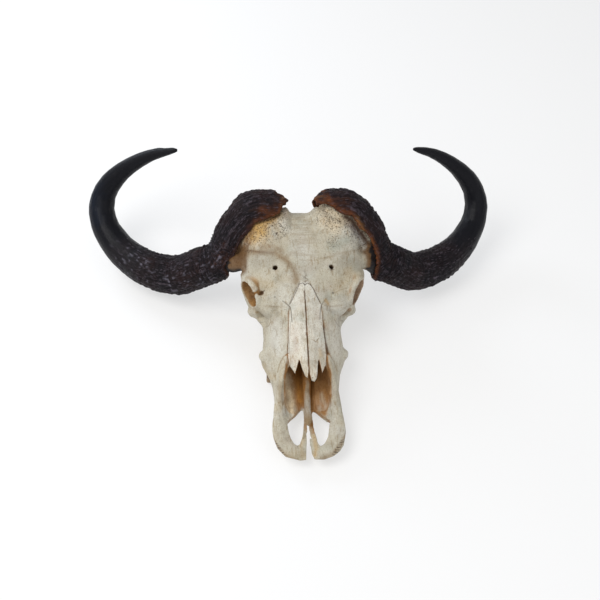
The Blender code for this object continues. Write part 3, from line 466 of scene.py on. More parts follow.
class Surface:
    """The surface of one piece: its points, how they face, and the coat of colour on them."""

    def __init__(self, piece, base=IVORY):
        self.mesh = piece.data
        self.links = numbers(self.mesh.edges, "vertices", 2, np.int32)
        self.read()
        self.side, self.back, self.up = (self.points - np.array(TO_FRAME)).T
        self.coat = np.tile(np.array(base), (len(self.points), 1))

    def read(self):
        """Take the points and how they face from the mesh."""
        self.points = numbers(self.mesh.vertices, "co", 3).astype(float)
        self.face()

    def face(self):
        """Take how the points face, as the mesh now has it."""
        self.normals = numbers(self.mesh.vertex_normals, "vector", 3).astype(float)

    def write(self):
        """Give the points back to the mesh."""
        self.mesh.vertices.foreach_set("co", self.points.astype(np.float32).ravel())
        self.mesh.update()

    def cloud(self, size, seed, octaves=1, stretch=(1, 1, 1)):
        """Smooth random values with lumps of the given size in mm."""
        return cloud(self.points * stretch, size * MM, seed, octaves)

    def spread(self, field, rounds):
        """Blur a value over the surface."""
        field = field[:, None]
        for _ in range(rounds):
            field = 0.5 * field + 0.5 * neighbour_mean(field, self.links)
        return field[:, 0]

    def even_out(self, rounds, freedom):
        """Take facets off without shrinking, as far as each point is free to move."""
        for _ in range(rounds):
            for pull in (0.5, -0.52):
                step = neighbour_mean(self.points, self.links) - self.points
                self.points = self.points + pull * freedom[:, None] * step

    def hollows(self, rounds):
        """Positive in hollows and grooves, negative on edges and ridges, in mm."""
        step = neighbour_mean(self.points, self.links) - self.points
        return self.spread(np.einsum("ij,ij->i", step, self.normals), rounds) / MM

    def cells(self, size):
        """One point for each small cell of the surface, and the cell that each point is in."""
        spot = np.floor(self.points / size).astype(np.int64) + MOST_CELLS // 2
        facing = (self.normals > 0) @ np.array((1, 2, 4))
        key = (spot[:, 0] * MOST_CELLS + spot[:, 1]) * MOST_CELLS + spot[:, 2]
        return np.unique(key * 8 + facing, return_index=True, return_inverse=True)[1:]

    def thickness(self, most):
        """How far the wall reaches behind each point of the surface."""
        tree = tree_of([self.mesh])
        chosen, cell = self.cells(WALL_CELL)
        result = np.full(len(chosen), most)
        for k, (place, normal) in enumerate(zip(self.points[chosen], self.normals[chosen])):
            inward = Vector(-normal)
            hit = tree.ray_cast(Vector(place) + inward * WALL_START_MM * MM, inward, most)
            if hit[3] is not None:
                result[k] = hit[3]
        return result[cell]

    def shelter(self):
        """How much of the open air over each point is shut off by the skull, 0 to 1."""
        rng = np.random.default_rng(SHELTER_SEED)
        ways = rng.normal(size=(SHELTER_RAYS, 3))
        ways /= np.linalg.norm(ways, axis=1)[:, None]
        chosen, cell = self.cells(SHELTER_CELL)
        starts = self.points[chosen] + self.normals[chosen] * SHELTER_START_MM * MM
        leans = self.normals[chosen] @ ways.T
        result = np.zeros(len(chosen))
        for k, start in enumerate(starts):
            start = Vector(start)
            for way, lean in zip(ways, leans[k]):
                aim = Vector(way if lean > 0 else -way)
                if CAD_TREE.ray_cast(start, aim, SHELTER_REACH)[0] is not None:
                    result[k] += 1
        return (result / SHELTER_RAYS)[cell]

    def mark(self, path, width):
        """How strongly a mark covers each point: 1 along its path, fading over its width."""
        spots, depth = in_picture(self.points)
        per_mm = FOCAL / depth * MM
        reach = MARK_REACH * width * per_mm.max() + MARK_MARGIN
        corners = np.array(path, float)
        near = (spots > corners.min(axis=0) - reach) & (spots < corners.max(axis=0) + reach)
        share = np.zeros(len(self.points))
        chosen = np.flatnonzero(np.all(near, axis=1))
        if not len(chosen):
            return share
        points, spots = self.points[chosen], spots[chosen]
        wobble = sum(cloud(points, size, seed) * part for size, seed, part in MARK_WOBBLES)
        best = np.full(len(chosen), 1e9)
        best_depth = np.zeros(len(chosen))
        hits = [seen_point(spot) for spot in path]
        hits = [(EYE - hit).dot(EYE_BACK) if hit else None for hit in hits]
        met = [k for k, hit in enumerate(hits) if hit is not None]
        if not met:
            return share
        # a place in the path that misses the skull takes the depth of the nearest that meets it
        hits = [hits[min(met, key=lambda other: abs(other - k))] for k in range(len(hits))]
        legs = list(zip(path, path[1:], hits, hits[1:])) or [(path[0], path[0], hits[0], hits[0])]
        for start, end, near_depth, far_depth in legs:
            start, way = np.array(start, float), np.subtract(end, start)
            along = np.clip((spots - start) @ way / max(way @ way, 1e-9), 0, 1)
            gap = np.linalg.norm(spots - start - along[:, None] * way, axis=1)
            closer = gap < best
            best[closer] = gap[closer]
            best_depth[closer] = (near_depth + (far_depth - near_depth) * along)[closer]
        distance = best / per_mm[chosen] * (1 + wobble * min(1.0, width / FULL_WOBBLE_AT))
        distance = distance + wobble * min(MOST_WOBBLE, width / MOST_WOBBLE_AT)
        off = np.abs(depth[chosen] - best_depth)
        share[chosen] = np.exp(-MARK_FALL * (2 * distance / width) ** 2)
        near, far = MARK_DEPTH
        share[chosen] *= 1 - ramp(near + width * MM, far + width * MM, off)
        return share

    def carve(self, marks):
        """Press each mark that has a depth into the surface."""
        sunk = np.zeros(len(self.points))
        for path, width, _, _, *depth in marks.values():
            if depth:
                sunk += depth[0] * MM * self.mark(path, width)
        self.swell(-sunk)

    def swell(self, lift):
        """Move each point out the way it faces."""
        self.points = self.points + np.reshape(lift, (-1, 1)) * self.normals

    def lay(self, colour, share):
        """Blend a colour over the coat."""
        share = np.clip(share, 0, 1)[:, None]
        self.coat = self.coat * (1 - share) + np.array(colour) * share

    def lay_marks(self, marks):
        """Paint the marks of the photograph over the coat."""
        for path, width, colour, strength, *_ in marks.values():
            self.lay(colour, strength * self.mark(path, width))

    def store(self, name, values):
        """Keep a number, a vector or a colour for each point in the mesh."""
        kind, field = {1: ("FLOAT", "value"), 3: ("FLOAT_VECTOR", "vector"),
                       4: ("FLOAT_COLOR", "color")}[values.size // len(values)]
        layer = self.mesh.attributes.new(name, kind, "POINT")
        layer.data.foreach_set(field, values.astype(np.float32).ravel())

    def store_coat(self):
        """Keep the coat in the mesh, as the tint that the finishes read."""
        self.store("tint", np.hstack([np.clip(self.coat, 0, 1), np.ones((len(self.coat), 1))]))


def link_piece(name, mesh):
    piece = bpy.data.objects.new(name, mesh)
    bpy.context.scene.collection.objects.link(piece)
    return piece


def mesh_from(bm, name):
    mesh = bpy.data.meshes.new(name)
    bm.to_mesh(mesh)
    bm.free()
    return mesh


def settle(piece):
    """Apply a piece's modifiers to its mesh."""
    bpy.context.view_layer.update()
    ready = piece.evaluated_get(bpy.context.evaluated_depsgraph_get())
    mesh = bpy.data.meshes.new_from_object(ready)
    piece.modifiers.clear()
    piece.data = mesh


def merged_copy(names):
    """One mesh of the named solids, doubles merged and each swelled, and its sharp edges."""
    bm = bmesh.new()
    sharp = []
    for name in names:
        part = bmesh.new()
        part.from_mesh(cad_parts[name].data)
        bmesh.ops.remove_doubles(part, verts=part.verts, dist=1e-6)
        part.normal_update()
        for edge in part.edges:
            if len(edge.link_faces) == 2 and edge.calc_face_angle() > SHARP_ANGLE:
                a, b = edge.verts
                count = max(2, int(edge.calc_length() / SHARP_STEP))
                sharp += [a.co.lerp(b.co, t / count) for t in range(count + 1)]
        for vert in part.verts:
            vert.co = vert.co + vert.normal * OVERLAP
        mesh = mesh_from(part, name + "_copy")
        bm.from_mesh(mesh)
        bpy.data.meshes.remove(mesh)
    return mesh_from(bm, "copy"), sharp


def calm(piece, kind, sharp):
    """Even out a piece, less where it is thin or keeps a sharp edge."""
    skin = Surface(piece)
    few, many = CALM_ROUNDS[kind]
    thick = skin.spread(skin.thickness(MOST_THICKNESS), 6)
    freedom = ramp(*HELD_BY_THINNESS, thick)
    if sharp:
        freedom *= 0.08 + 0.92 * ramp(*HELD_BY_EDGE, away_from(skin.points, sharp, 10 * MM))
    freedom = skin.spread(freedom, 4)
    skin.even_out(few, np.ones(len(skin.points)))
    skin.even_out(many, freedom)
    skin.write()


def new_skin(kind, names):
    """Skin some solids as one piece and even it out; gives their sharp edges too."""
    mesh, sharp = merged_copy(names)
    piece = link_piece(kind, mesh)
    skin = piece.modifiers.new("skin", "REMESH")
    skin.mode = "VOXEL"
    skin.voxel_size = FINENESS[kind]
    settle(piece)
    calm(piece, kind, off_the_seam(sharp) if kind == "skull" else sharp)
    return piece, sharp


def off_the_seam(points):
    """Edges that don't lie on the seam between the braincase and the upper jaws."""
    line = np.array(CRANIUM_SEAM) + (TO_FRAME.y, 0)
    kept = []
    for point in points:
        p = np.array((point.y, point.z))
        nearest = 1.0
        for a, b in zip(line, line[1:]):
            t = np.clip((p - a) @ (b - a) / ((b - a) @ (b - a)), 0, 1)
            nearest = min(nearest, np.linalg.norm(p - a - t * (b - a)))
        if nearest > SEAM_WIDTH:
            kept.append(point)
    return kept


def seam_block(shift):
    """Block in front of the seam, for parting the skin into braincase and jaws."""
    outline = [(y + TO_FRAME.y + shift, z) for y, z in CRANIUM_SEAM]
    outline += [(-FAR, SEAM_HEAD), (-FAR, SEAM_FOOT)]
    bm = bmesh.new()
    rings = [[bm.verts.new((x, y, z)) for y, z in outline] for x in (-FAR, FAR)]
    for k in range(len(outline)):
        after = (k + 1) % len(outline)
        bm.faces.new((rings[0][k], rings[0][after], rings[1][after], rings[1][k]))
    bm.faces.new(rings[0][::-1])
    bm.faces.new(rings[1])
    bmesh.ops.recalc_face_normals(bm, faces=bm.faces)
    bmesh.ops.triangulate(bm, faces=bm.faces)
    return link_piece("seam_block", mesh_from(bm, "seam_block"))


def half_block(side):
    """Block over one side of the skull."""
    bm = bmesh.new()
    bmesh.ops.create_cube(bm, size=2 * FAR)
    for vert in bm.verts:
        vert.co.x += side * (FAR + SUTURE / 2) + TO_FRAME.x
    return link_piece("half_block", mesh_from(bm, "half_block"))


def cut(piece, block, operation):
    """Cut a piece with a block, and remove the block."""
    step = piece.modifiers.new("cut", "BOOLEAN")
    step.object = block
    step.operation = operation
    step.solver = "MANIFOLD"
    settle(piece)
    bpy.data.objects.remove(block, do_unlink=True)


def parted(skull):
    """Part the skull's skin into braincase and two upper jaws along their seams."""
    pieces = {}
    face = link_piece("face", skull.data.copy())
    cut(face, seam_block(-SUTURE / 2), "INTERSECT")
    cut(skull, seam_block(SUTURE / 2), "DIFFERENCE")
    for word, side in SIDES:
        jaw = link_piece("upper_jaw_" + word, face.data.copy())
        cut(jaw, half_block(side), "INTERSECT")
        pieces["maxilla_" + word] = jaw
    bpy.data.objects.remove(face, do_unlink=True)
    pieces["cranium"] = skull
    return pieces


def lighten(piece, most):
    """Keep a piece under the most triangles that it may have."""
    piece.data.calc_loop_triangles()
    count = len(piece.data.loop_triangles)
    if count > most:
        thin = piece.modifiers.new("thin", "DECIMATE")
        thin.ratio = most / count
        settle(piece)


def finish_piece(piece, name, node, slot):
    """Name a finished piece, give it its finish, hang it from the root and hide the solid it stands
    for.
    """
    piece.name = name
    piece.data.name = name
    piece.data.materials.clear()
    piece.data.materials.append(FINISHES[slot])
    piece.data.shade_smooth()
    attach(piece, "root")
    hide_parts(node)


def feed(tree, node, inputs):
    """Give a node's inputs a value, or link them to another node's output."""
    for key, value in inputs.items():
        if isinstance(value, bpy.types.NodeSocket):
            tree.links.new(value, node.inputs[key])
        else:
            node.inputs[key].default_value = value


def put(tree, kind, inputs, **settings):
    """Add a node to a tree, with its settings and inputs."""
    node = tree.nodes.new(kind)
    for name, value in settings.items():
        setattr(node, name, value)
    feed(tree, node, inputs)
    return node


def set_camera():
    camera = bpy.data.objects.new("camera", bpy.data.cameras.new("camera"))
    bpy.context.scene.collection.objects.link(camera)
    turn = Matrix((EYE_RIGHT, EYE_UP, EYE_BACK)).transposed().to_4x4()
    camera.matrix_world = Matrix.Translation(EYE) @ turn
    camera.data.lens = LENS_MM
    camera.data.sensor_width = SENSOR_MM
    camera.data.clip_end = 20
    bpy.context.scene.camera = camera


def area_light(name, place, aim, size, power, colour):
    lamp = bpy.data.lights.new(name, "AREA")
    lamp.shape = "DISK"
    lamp.size = size
    lamp.energy = power
    lamp.color = colour
    thing = bpy.data.objects.new(name, lamp)
    bpy.context.scene.collection.objects.link(thing)
    thing.location = place
    thing.rotation_euler = (Vector(aim) - Vector(place)).to_track_quat("-Z", "Y").to_euler()


def set_stage():
    """Pale floor and plain studio light, with a white wall that only the camera sees."""
    bm = bmesh.new()
    bmesh.ops.create_circle(bm, cap_ends=True, segments=64, radius=FLOOR_RADIUS)
    floor = link_piece("floor", mesh_from(bm, "floor"))
    paint = bpy.data.materials.new("pale_floor")
    paint.use_nodes = True
    feed(paint.node_tree, paint.node_tree.nodes["Principled BSDF"], FLOOR)
    floor.data.materials.append(paint)
    world = bpy.data.worlds.new("studio")
    world.use_nodes = True
    tree = world.node_tree
    sky = tree.nodes["Background"]
    feed(tree, sky, SKY)
    wall = put(tree, "ShaderNodeBackground", WALL)
    seen = put(tree, "ShaderNodeLightPath", {})
    choice = put(tree, "ShaderNodeMixShader", {
        "Fac": seen.outputs["Is Camera Ray"], 1: sky.outputs["Background"],
        2: wall.outputs["Background"]})
    feed(tree, tree.nodes["World Output"], {"Surface": choice.outputs["Shader"]})
    bpy.context.scene.world = world
    for name, settings in LIGHTS.items():
        area_light(name, *settings)
    bpy.context.scene.view_settings.view_transform = "Standard"


def crown_lift(bone):
    """How much the crest between the horns rises or falls, to run in a soft U from boss to boss."""
    crest = ramp(*CREST_BACK, bone.back) * (1 - ramp(*CREST_END, bone.back))
    crest *= ramp(*CREST_UP, bone.up)
    lift = np.zeros(len(bone.points))
    for place, width, height in CROWN_LIFTS:
        lift += height * np.exp(-((bone.side - place) / width) ** 2)
    return crest * lift


def shape_bone(piece):
    """Relief of the bone: marks of the photograph, soft lumps and a worn surface."""
    bone = Surface(piece)
    bone.points[:, 2] += crown_lift(bone)
    bone.swell(-OVERLAP)
    bone.carve(BONE_MARKS)
    lift = 0.35 * MM * bone.cloud(16, 101, 2) + 0.16 * MM * bone.cloud(5, 111, 2)
    domes = ramp(*DOME_BACK, bone.back) * ramp(*DOME_SIDE, np.abs(bone.side))
    lift += domes * (0.5 * MM * bone.cloud(7, 121, 2) + 0.3 * MM * bone.cloud(3.5, 131))
    bone.swell(lift)
    bone.points[:, 2] = np.maximum(bone.points[:, 2], 0.0)
    bone.write()


def stain_and_shade_core_feet(bone, streaky):
    """Stain the foot of each horn core brown, with painted shade that turns it black where it goes
    under the sheath and where it faces down.
    """
    stained = np.zeros(len(bone.points))
    behind = ramp(*CORE_BACK, bone.back) * (bone.back < CORE_END)
    behind = behind * (bone.up > CORE_FLOOR) * ramp(*CORE_TOP, bone.up)
    low = ramp(0.25, -0.25, bone.normals[:, 2])
    for word, sign in SIDES:
        first, last, black = CORE_STAIN_AND_SHADE[word]
        reach = sign * bone.side + 0.005 * bone.cloud(9, 76, 2)
        foot = ramp(first, last, reach)
        # painted shade: black where the core goes under the sheath and where its stained foot faces
        # down
        under = np.maximum(ramp(black - 0.004, black, reach), low * foot)
        stained = np.maximum(stained, foot * behind)
        bone.lay(STAIN, 0.9 * foot * behind)
        bone.lay(RUST, 0.5 * foot * behind * ramp(0.0, 0.8, streaky))
        bone.lay(BLACK_HORN, 0.97 * under * behind)
    return stained


def brown_stump(bone):
    """The first tooth of the animal's right side is a broken brown stump."""
    stump = (bone.side < STUMP_SIDE) & (bone.back > STUMP_BACK[0]) & (bone.back < STUMP_BACK[1])
    stump = stump * ramp(*STUMP_TOP, bone.up + 0.004 * bone.cloud(6, 77))
    bone.lay(RUST, 0.9 * stump)
    bone.lay(UMBER, 0.8 * stump * ramp(0.0, 0.6, bone.cloud(3, 78)))


def brown_sockets(bone, shut):
    """The walls of the eye sockets are golden brown, with painted shade that makes them dark deep
    inside.
    """
    place = np.stack([np.abs(bone.side), bone.back, bone.up], axis=1)
    away = np.linalg.norm(place - np.array(EYE_SOCKET), axis=1)
    inside = ramp(SOCKET_REACH, 0.8 * SOCKET_REACH, away) * ramp(0.14, 0.32, shut)
    bone.lay(AMBER, 0.85 * inside)
    bone.lay(ROSE, 0.6 * inside * (bone.side > 0))
    bone.lay(RUST, 0.4 * inside * ramp(0.0, 0.9, bone.cloud(9, 75, 2)))
    # painted shade, darker deeper into the socket
    bone.lay(UMBER, 0.85 * inside * ramp(*SOCKET_SHADE_DEPTH, np.abs(bone.side)))
    return inside


def brown_nose(bone, shut):
    """So is the hollow of the nose, with paler walls in places."""
    nose = (np.abs(bone.side) < NOSE_SIDE) & (bone.up > NOSE_FLOOR)
    nose &= (bone.back > NOSE_BACK[0]) & (bone.back < NOSE_BACK[1])
    inward = ramp(0.25, 0.65, -np.sign(bone.side) * bone.normals[:, 0])
    inward *= ramp(*NOSE_WALLS, bone.back)
    nose = nose * np.maximum(ramp(0.20, 0.45, shut), inward * ramp(0.03, 0.12, shut))
    nose = bone.spread(nose, 6)
    bone.lay(NOSE_BROWN, 0.9 * nose)
    before = bone.coat
    bone.lay_marks(NOSE_MARKS)
    bone.coat = before + (bone.coat - before) * ramp(0.0, 0.3, nose)[:, None]
    return nose


def paint_teeth(bone, sunk):
    """The crowns of the cheek teeth are stained brown, darkest in their folds."""
    crown = ramp(*TOOTH_TOP, bone.up + 0.002 * bone.cloud(5, 81))
    bone.lay(TOOTH, 0.8 * crown)
    bone.lay(UMBER, 0.6 * crown * ramp(0.0, 0.10, sunk))
    bone.lay(RUST, 0.45 * crown * ramp(0.1, 0.9, bone.cloud(7, 82, 2)))


def store_pores(bone):
    """Pores show on the domes under the horns, and fine wrinkles between them."""
    facing_up = bone.normals[:, 2]
    domes = ramp(*DOME_BACK, bone.back + 0.02 * bone.cloud(20, 91))
    domes *= ramp(*DOME_SIDE, np.abs(bone.side) + 0.008 * bone.cloud(18, 92))
    domes *= ramp(0.0, 0.45, facing_up)
    bone.store("porous", np.clip(domes + 0.15, 0, 1) * (facing_up > -0.3))
    middle = 1 - ramp(*BROW_SIDE, np.abs(bone.side))
    bone.store("wrinkled", middle * ramp(*BROW_BACK, bone.back) * (facing_up > 0.2))


def paint_bone(piece, kind, base):
    """Colours of old bone: stains, painted shade in sheltered hollows, darker grooves and the marks
    of the photograph.
    """
    bone = Surface(piece, base)
    shut = bone.spread(bone.shelter(), int(6 * (FINENESS["skull"] / FINENESS[kind]) ** 1.5))
    sunk = bone.hollows(2)
    for colour, strength, size, seed, octaves, span in BONE_PATCHES:
        bone.lay(colour, strength * ramp(*span, bone.cloud(size, seed, octaves)))
    # painted shade: the back, the sides and the underside, which the photograph doesn't show, are
    # darker the more they face down
    bone.lay(BUFF, 0.6 * ramp(0.3, -0.5, bone.normals[:, 2] + 0.25 * bone.cloud(20, 61, 2)))
    bone.lay_marks(BONE_MARKS)
    streaky = ramp(0.5, 1.3, bone.cloud(2.2, 71, 2, (1.0, 0.22, 0.6)))
    streaky *= ramp(-0.6, 0.6, bone.cloud(35, 72))
    bone.lay(SAND, 0.30 * streaky)
    # painted shade: sand and then rust, the more of the open air over a point the skull shuts off
    bone.lay(SAND, 0.75 * ramp(0.42, 0.75, shut))
    bone.lay(RUST, 0.85 * ramp(0.66, 0.95, shut))
    stained = stain_and_shade_core_feet(bone, streaky)
    brown_stump(bone)
    socket = brown_sockets(bone, shut)
    nose = brown_nose(bone, shut)
    bone.lay(UMBER, 0.5 * ramp(0.05, 0.24, sunk) * (1 - 0.8 * nose))
    bone.lay(CHALK, 0.22 * ramp(-0.02, -0.14, sunk) * (1 - nose) * (1 - socket) * (1 - stained))
    if "upper_jaw" in piece.name:
        paint_teeth(bone, sunk)
    bone.store_coat()
    store_pores(bone)


def horn_middle(side):
    """Points close together along the middle of a horn, on a smooth curve through its line."""
    stations = [Vector((side * x, y, z)) + TO_FRAME for x, y, z in HORN_LINE]
    line = []
    for k in range(len(stations) - 1):
        before = stations[max(k - 1, 0)]
        after = stations[min(k + 2, len(stations) - 1)]
        a, b = stations[k], stations[k + 1]
        for step in range(LINE_STEPS):
            t = step / LINE_STEPS
            line.append(0.5 * (2 * a + (b - before) * t
                               + (2 * before - 5 * a + 4 * b - after) * t * t
                               + (3 * a - before - 3 * b + after) * t ** 3))
    line.append(stations[-1])
    return line


def horn_course(points, side):
    """For each point of a horn: how far along it, its turn round the middle, and the way there."""
    line = horn_middle(side)
    run, lifts, ways = [0.0], [], []
    lift = Vector((0, 0.35, 1))
    finder = KDTree(len(line))
    for k, place in enumerate(line):
        way = (line[min(k + 1, len(line) - 1)] - line[max(k - 1, 0)]).normalized()
        lift = (lift - way * lift.dot(way)).normalized()
        lifts.append(lift.copy())
        ways.append(way)
        if k:
            run.append(run[-1] + (place - line[k - 1]).length)
        finder.insert(place, k)
    finder.balance()
    which = np.array([finder.find(point)[1] for point in points])
    line, lifts, ways, run = np.array(line), np.array(lifts), np.array(ways), np.array(run)
    wides = np.cross(ways, lifts)
    off = points - line[which]
    along = run[which] + np.einsum("ij,ij->i", off, ways[which])
    turn = np.arctan2(np.einsum("ij,ij->i", off, lifts[which]),
                      np.einsum("ij,ij->i", off, wides[which]))
    return along, turn, ways[which]


def wear_round(horn, place, side):
    """Round off a torn end and draw it out towards the middle of the skull."""
    gap = np.linalg.norm(horn.points - np.array(seen_point(place)), axis=1)
    worn = 0.5 * (1 - ramp(*WORN_REACH, gap))[:, None]
    for _ in range(WORN_ROUNDS):
        horn.points += worn * (neighbour_mean(horn.points, horn.links) - horn.points)
    horn.points[:, 0] -= side * WORN_STRETCH * (1 - ramp(*STRETCH_REACH, gap))
    horn.write()
    horn.face()


def dress_horn(piece, word, side, sharp):
    """Fibres, growth ridges and torn edges of a horn, and its colours."""
    horn = Surface(piece, BLACK_HORN)
    if word in WORN_END:
        wear_round(horn, WORN_END[word], side)
    along, turn, course = horn_course(horn.points, side)
    grain = np.stack([along, GRAIN_RADIUS * np.cos(turn), GRAIN_RADIUS * np.sin(turn)], axis=1)

    def drawn_out(share, size, seed, octaves=1):
        """Clouds drawn out along the grain."""
        return cloud(grain * (share, 1, 1), size * MM, seed, octaves)

    edge = 1 - ramp(*EDGE_WIDTH, away_from(horn.points, sharp, 12 * MM))
    edge = horn.spread(edge, 2) * (1 - ramp(*RIM_END, along))
    rough = 1 - ramp(*ROUGH_END, along + 0.03 * horn.cloud(40, 201, 2))
    boss = 1 - ramp(*BOSS_END, along)
    fibres = drawn_out(0.14, 3.4, 211, 2)
    ridges = np.sin(2 * math.pi * (along / RIDGE_SPACING + 0.45 * horn.cloud(30, 231, 2)))
    ridges = ridges * (0.6 + 0.4 * horn.cloud(22, 235))
    bend = ramp(*RIDGES_BEGIN, along) * (1 - ramp(*RIDGES_END, along))
    # near the brow, rings run across the horn, along the rim
    across = ramp(*RINGS_BEGIN, along) * (1 - ramp(*RINGS_END, along))
    rings = np.sin(2 * math.pi * (along / RING_SPACING + 0.6 * horn.cloud(16, 233, 2)))
    lift = rough * (1 - 0.7 * across) * (0.95 * fibres + 0.9 * drawn_out(0.20, 8, 221, 2))
    lift += bend * 0.75 * ridges
    lift += across * (0.9 * rings + 0.5 * horn.cloud(5, 237, 2))
    lift += boss * (1.4 * horn.cloud(18, 241, 2) + 0.9 * horn.cloud(6, 251, 2))
    lift += 0.12 * drawn_out(0.05, 5, 261) + 0.45 * edge * horn.cloud(5, 271, 2)
    lift *= 1 - ramp(*SMOOTH_TIP, along) * 0.7
    horn.carve(HORN_MARKS)
    horn.swell(MM * lift - OVERLAP)
    horn.write()
    horn.read()

    sunk = horn.hollows(1)
    horn.lay(BROWN_HORN, rough * (0.55 + 0.45 * horn.cloud(25, 281, 2)))
    horn.lay(EDGE_HORN, 0.22 * boss * ramp(0.2, 1.0, drawn_out(0.3, 9, 291, 2)))
    # painted highlight: pale flecks on the raised fibres of the rough part
    horn.lay(PALE_FLECK_HIGHLIGHT, 0.5 * rough * ramp(0.55, 1.25, fibres + 0.5 * horn.cloud(3, 301)))
    horn.lay(BLACK_HORN, 0.85 * rough * ramp(0.0, 0.25, sunk))
    # painted highlight: pale bluish specks along the grain on the bend, and lighter ones over all
    # the rough part
    frost_highlight = horn.mark(FROST_HIGHLIGHT_PATH, FROST_HIGHLIGHT_WIDTH)
    horn.lay(FROST_HIGHLIGHT, 0.6 * frost_highlight * ramp(0.30, 0.85, drawn_out(0.55, 3.9, 361)))
    horn.lay(FROST_HIGHLIGHT, 0.15 * rough * ramp(0.55, 0.95, drawn_out(0.55, 4.2, 371)))
    glow = edge * EDGE_GLOW[word]
    horn.lay(EDGE_HORN, glow * ramp(-0.9, 0.2, horn.cloud(10, 311, 2)))
    horn.lay(AMBER_HORN, 0.45 * glow ** 2 * ramp(0.2, 0.9, horn.cloud(12, 321, 2)))
    horn.lay_marks(HORN_MARKS)
    horn.lay(BLACK_HORN, 0.6 * edge * ramp(0.35, 0.9, horn.cloud(2.5, 331, 2)))
    horn.store_coat()
    horn.store("grain", grain)
    rough = np.clip(rough, 0, 1)
    horn.store("rough", rough)
    sway = np.stack([horn.cloud(15, seed, 2) for seed in (341, 342, 343)], axis=1)
    around = np.cross(course, horn.normals)
    course = course * (1 - across)[:, None] + around * across[:, None]
    horn.store("course", course + 0.35 * sway)
    horn.store("thick_with_fibres", rough * (1 - edge) * ramp(-0.5, 0.5, horn.cloud(20, 351, 2)))


def fibre_tree():
    """Geometry nodes that lay short fibres over the rough part of a horn, along its grain."""
    tree = bpy.data.node_groups.new("horn_fibres", "GeometryNodeTree")
    kinds = {"Horn": "Geometry", "Number in a square metre": "Float", "Length": "Float",
             "Width": "Float", "Height": "Float", "Seed": "Int", "Finish": "Material"}
    keys = {}
    for label, kind in kinds.items():
        socket = tree.interface.new_socket(label, in_out="INPUT", socket_type="NodeSocket" + kind)
        keys[label] = socket.identifier
    tree.interface.new_socket("Horn", in_out="OUTPUT", socket_type="NodeSocketGeometry")
    given = put(tree, "NodeGroupInput", {}).outputs

    def shown(sockets):
        return [socket for socket in sockets if socket.enabled]

    def named(name, kind):
        node = put(tree, "GeometryNodeInputNamedAttribute", {"Name": name}, data_type=kind)
        return next(socket for socket in shown(node.outputs) if socket.name == "Attribute")

    def times(first, second):
        return put(tree, "ShaderNodeMath", {0: first, 1: second}, operation="MULTIPLY").outputs[0]

    number = times(given["Number in a square metre"], named("thick_with_fibres", "FLOAT"))
    scatter = put(tree, "GeometryNodeDistributePointsOnFaces", {
        "Mesh": given["Horn"], "Density": number, "Seed": given["Seed"]}).outputs
    aim = put(tree, "FunctionNodeAlignRotationToVector", {
        "Rotation": scatter["Rotation"], "Vector": named("course", "FLOAT_VECTOR")},
        axis="X", pivot_axis="Z")
    vary = put(tree, "FunctionNodeRandomValue", {"Seed": given["Seed"]}, data_type="FLOAT")
    for socket, size in zip(shown(vary.inputs), FIBRE_SIZES):
        socket.default_value = size
    grow = shown(vary.outputs)[0]
    sizes = put(tree, "ShaderNodeCombineXYZ", {
        "X": times(given["Length"], grow), "Y": times(given["Width"], grow),
        "Z": times(given["Height"], grow)})
    spindle = put(tree, "GeometryNodeMeshUVSphere", {"Segments": 5, "Rings": 3, "Radius": 1.0})
    laid = put(tree, "GeometryNodeInstanceOnPoints", {
        "Points": scatter["Points"], "Instance": spindle.outputs["Mesh"],
        "Rotation": aim.outputs["Rotation"], "Scale": sizes.outputs["Vector"]})
    pale = put(tree, "GeometryNodeStoreNamedAttribute", {
        "Geometry": laid.outputs["Instances"], "Name": "fibre", "Value": grow},
        data_type="FLOAT", domain="INSTANCE")
    real = put(tree, "GeometryNodeRealizeInstances", {"Geometry": pale.outputs["Geometry"]})
    join = put(tree, "GeometryNodeJoinGeometry", {"Geometry": real.outputs["Geometry"]})
    feed(tree, join, {"Geometry": given["Horn"]})
    coat = put(tree, "GeometryNodeSetMaterial", {
        "Geometry": join.outputs["Geometry"], "Material": given["Finish"]})
    put(tree, "NodeGroupOutput", {"Horn": coat.outputs["Geometry"]})
    return tree, keys


def lay_fibres(piece, side):
    """Lay the fibres on a horn, as part of its mesh, with a seed of its own for each side."""
    step = piece.modifiers.new("fibres", "NODES")
    step.node_group = FIBRE_TREE
    for label, value in FIBRES.items():
        step[FIBRE_KEYS[label]] = value + side if label == "Seed" else value
    step[FIBRE_KEYS["Finish"]] = FINISHES["horn_sheath"]
    settle(piece)


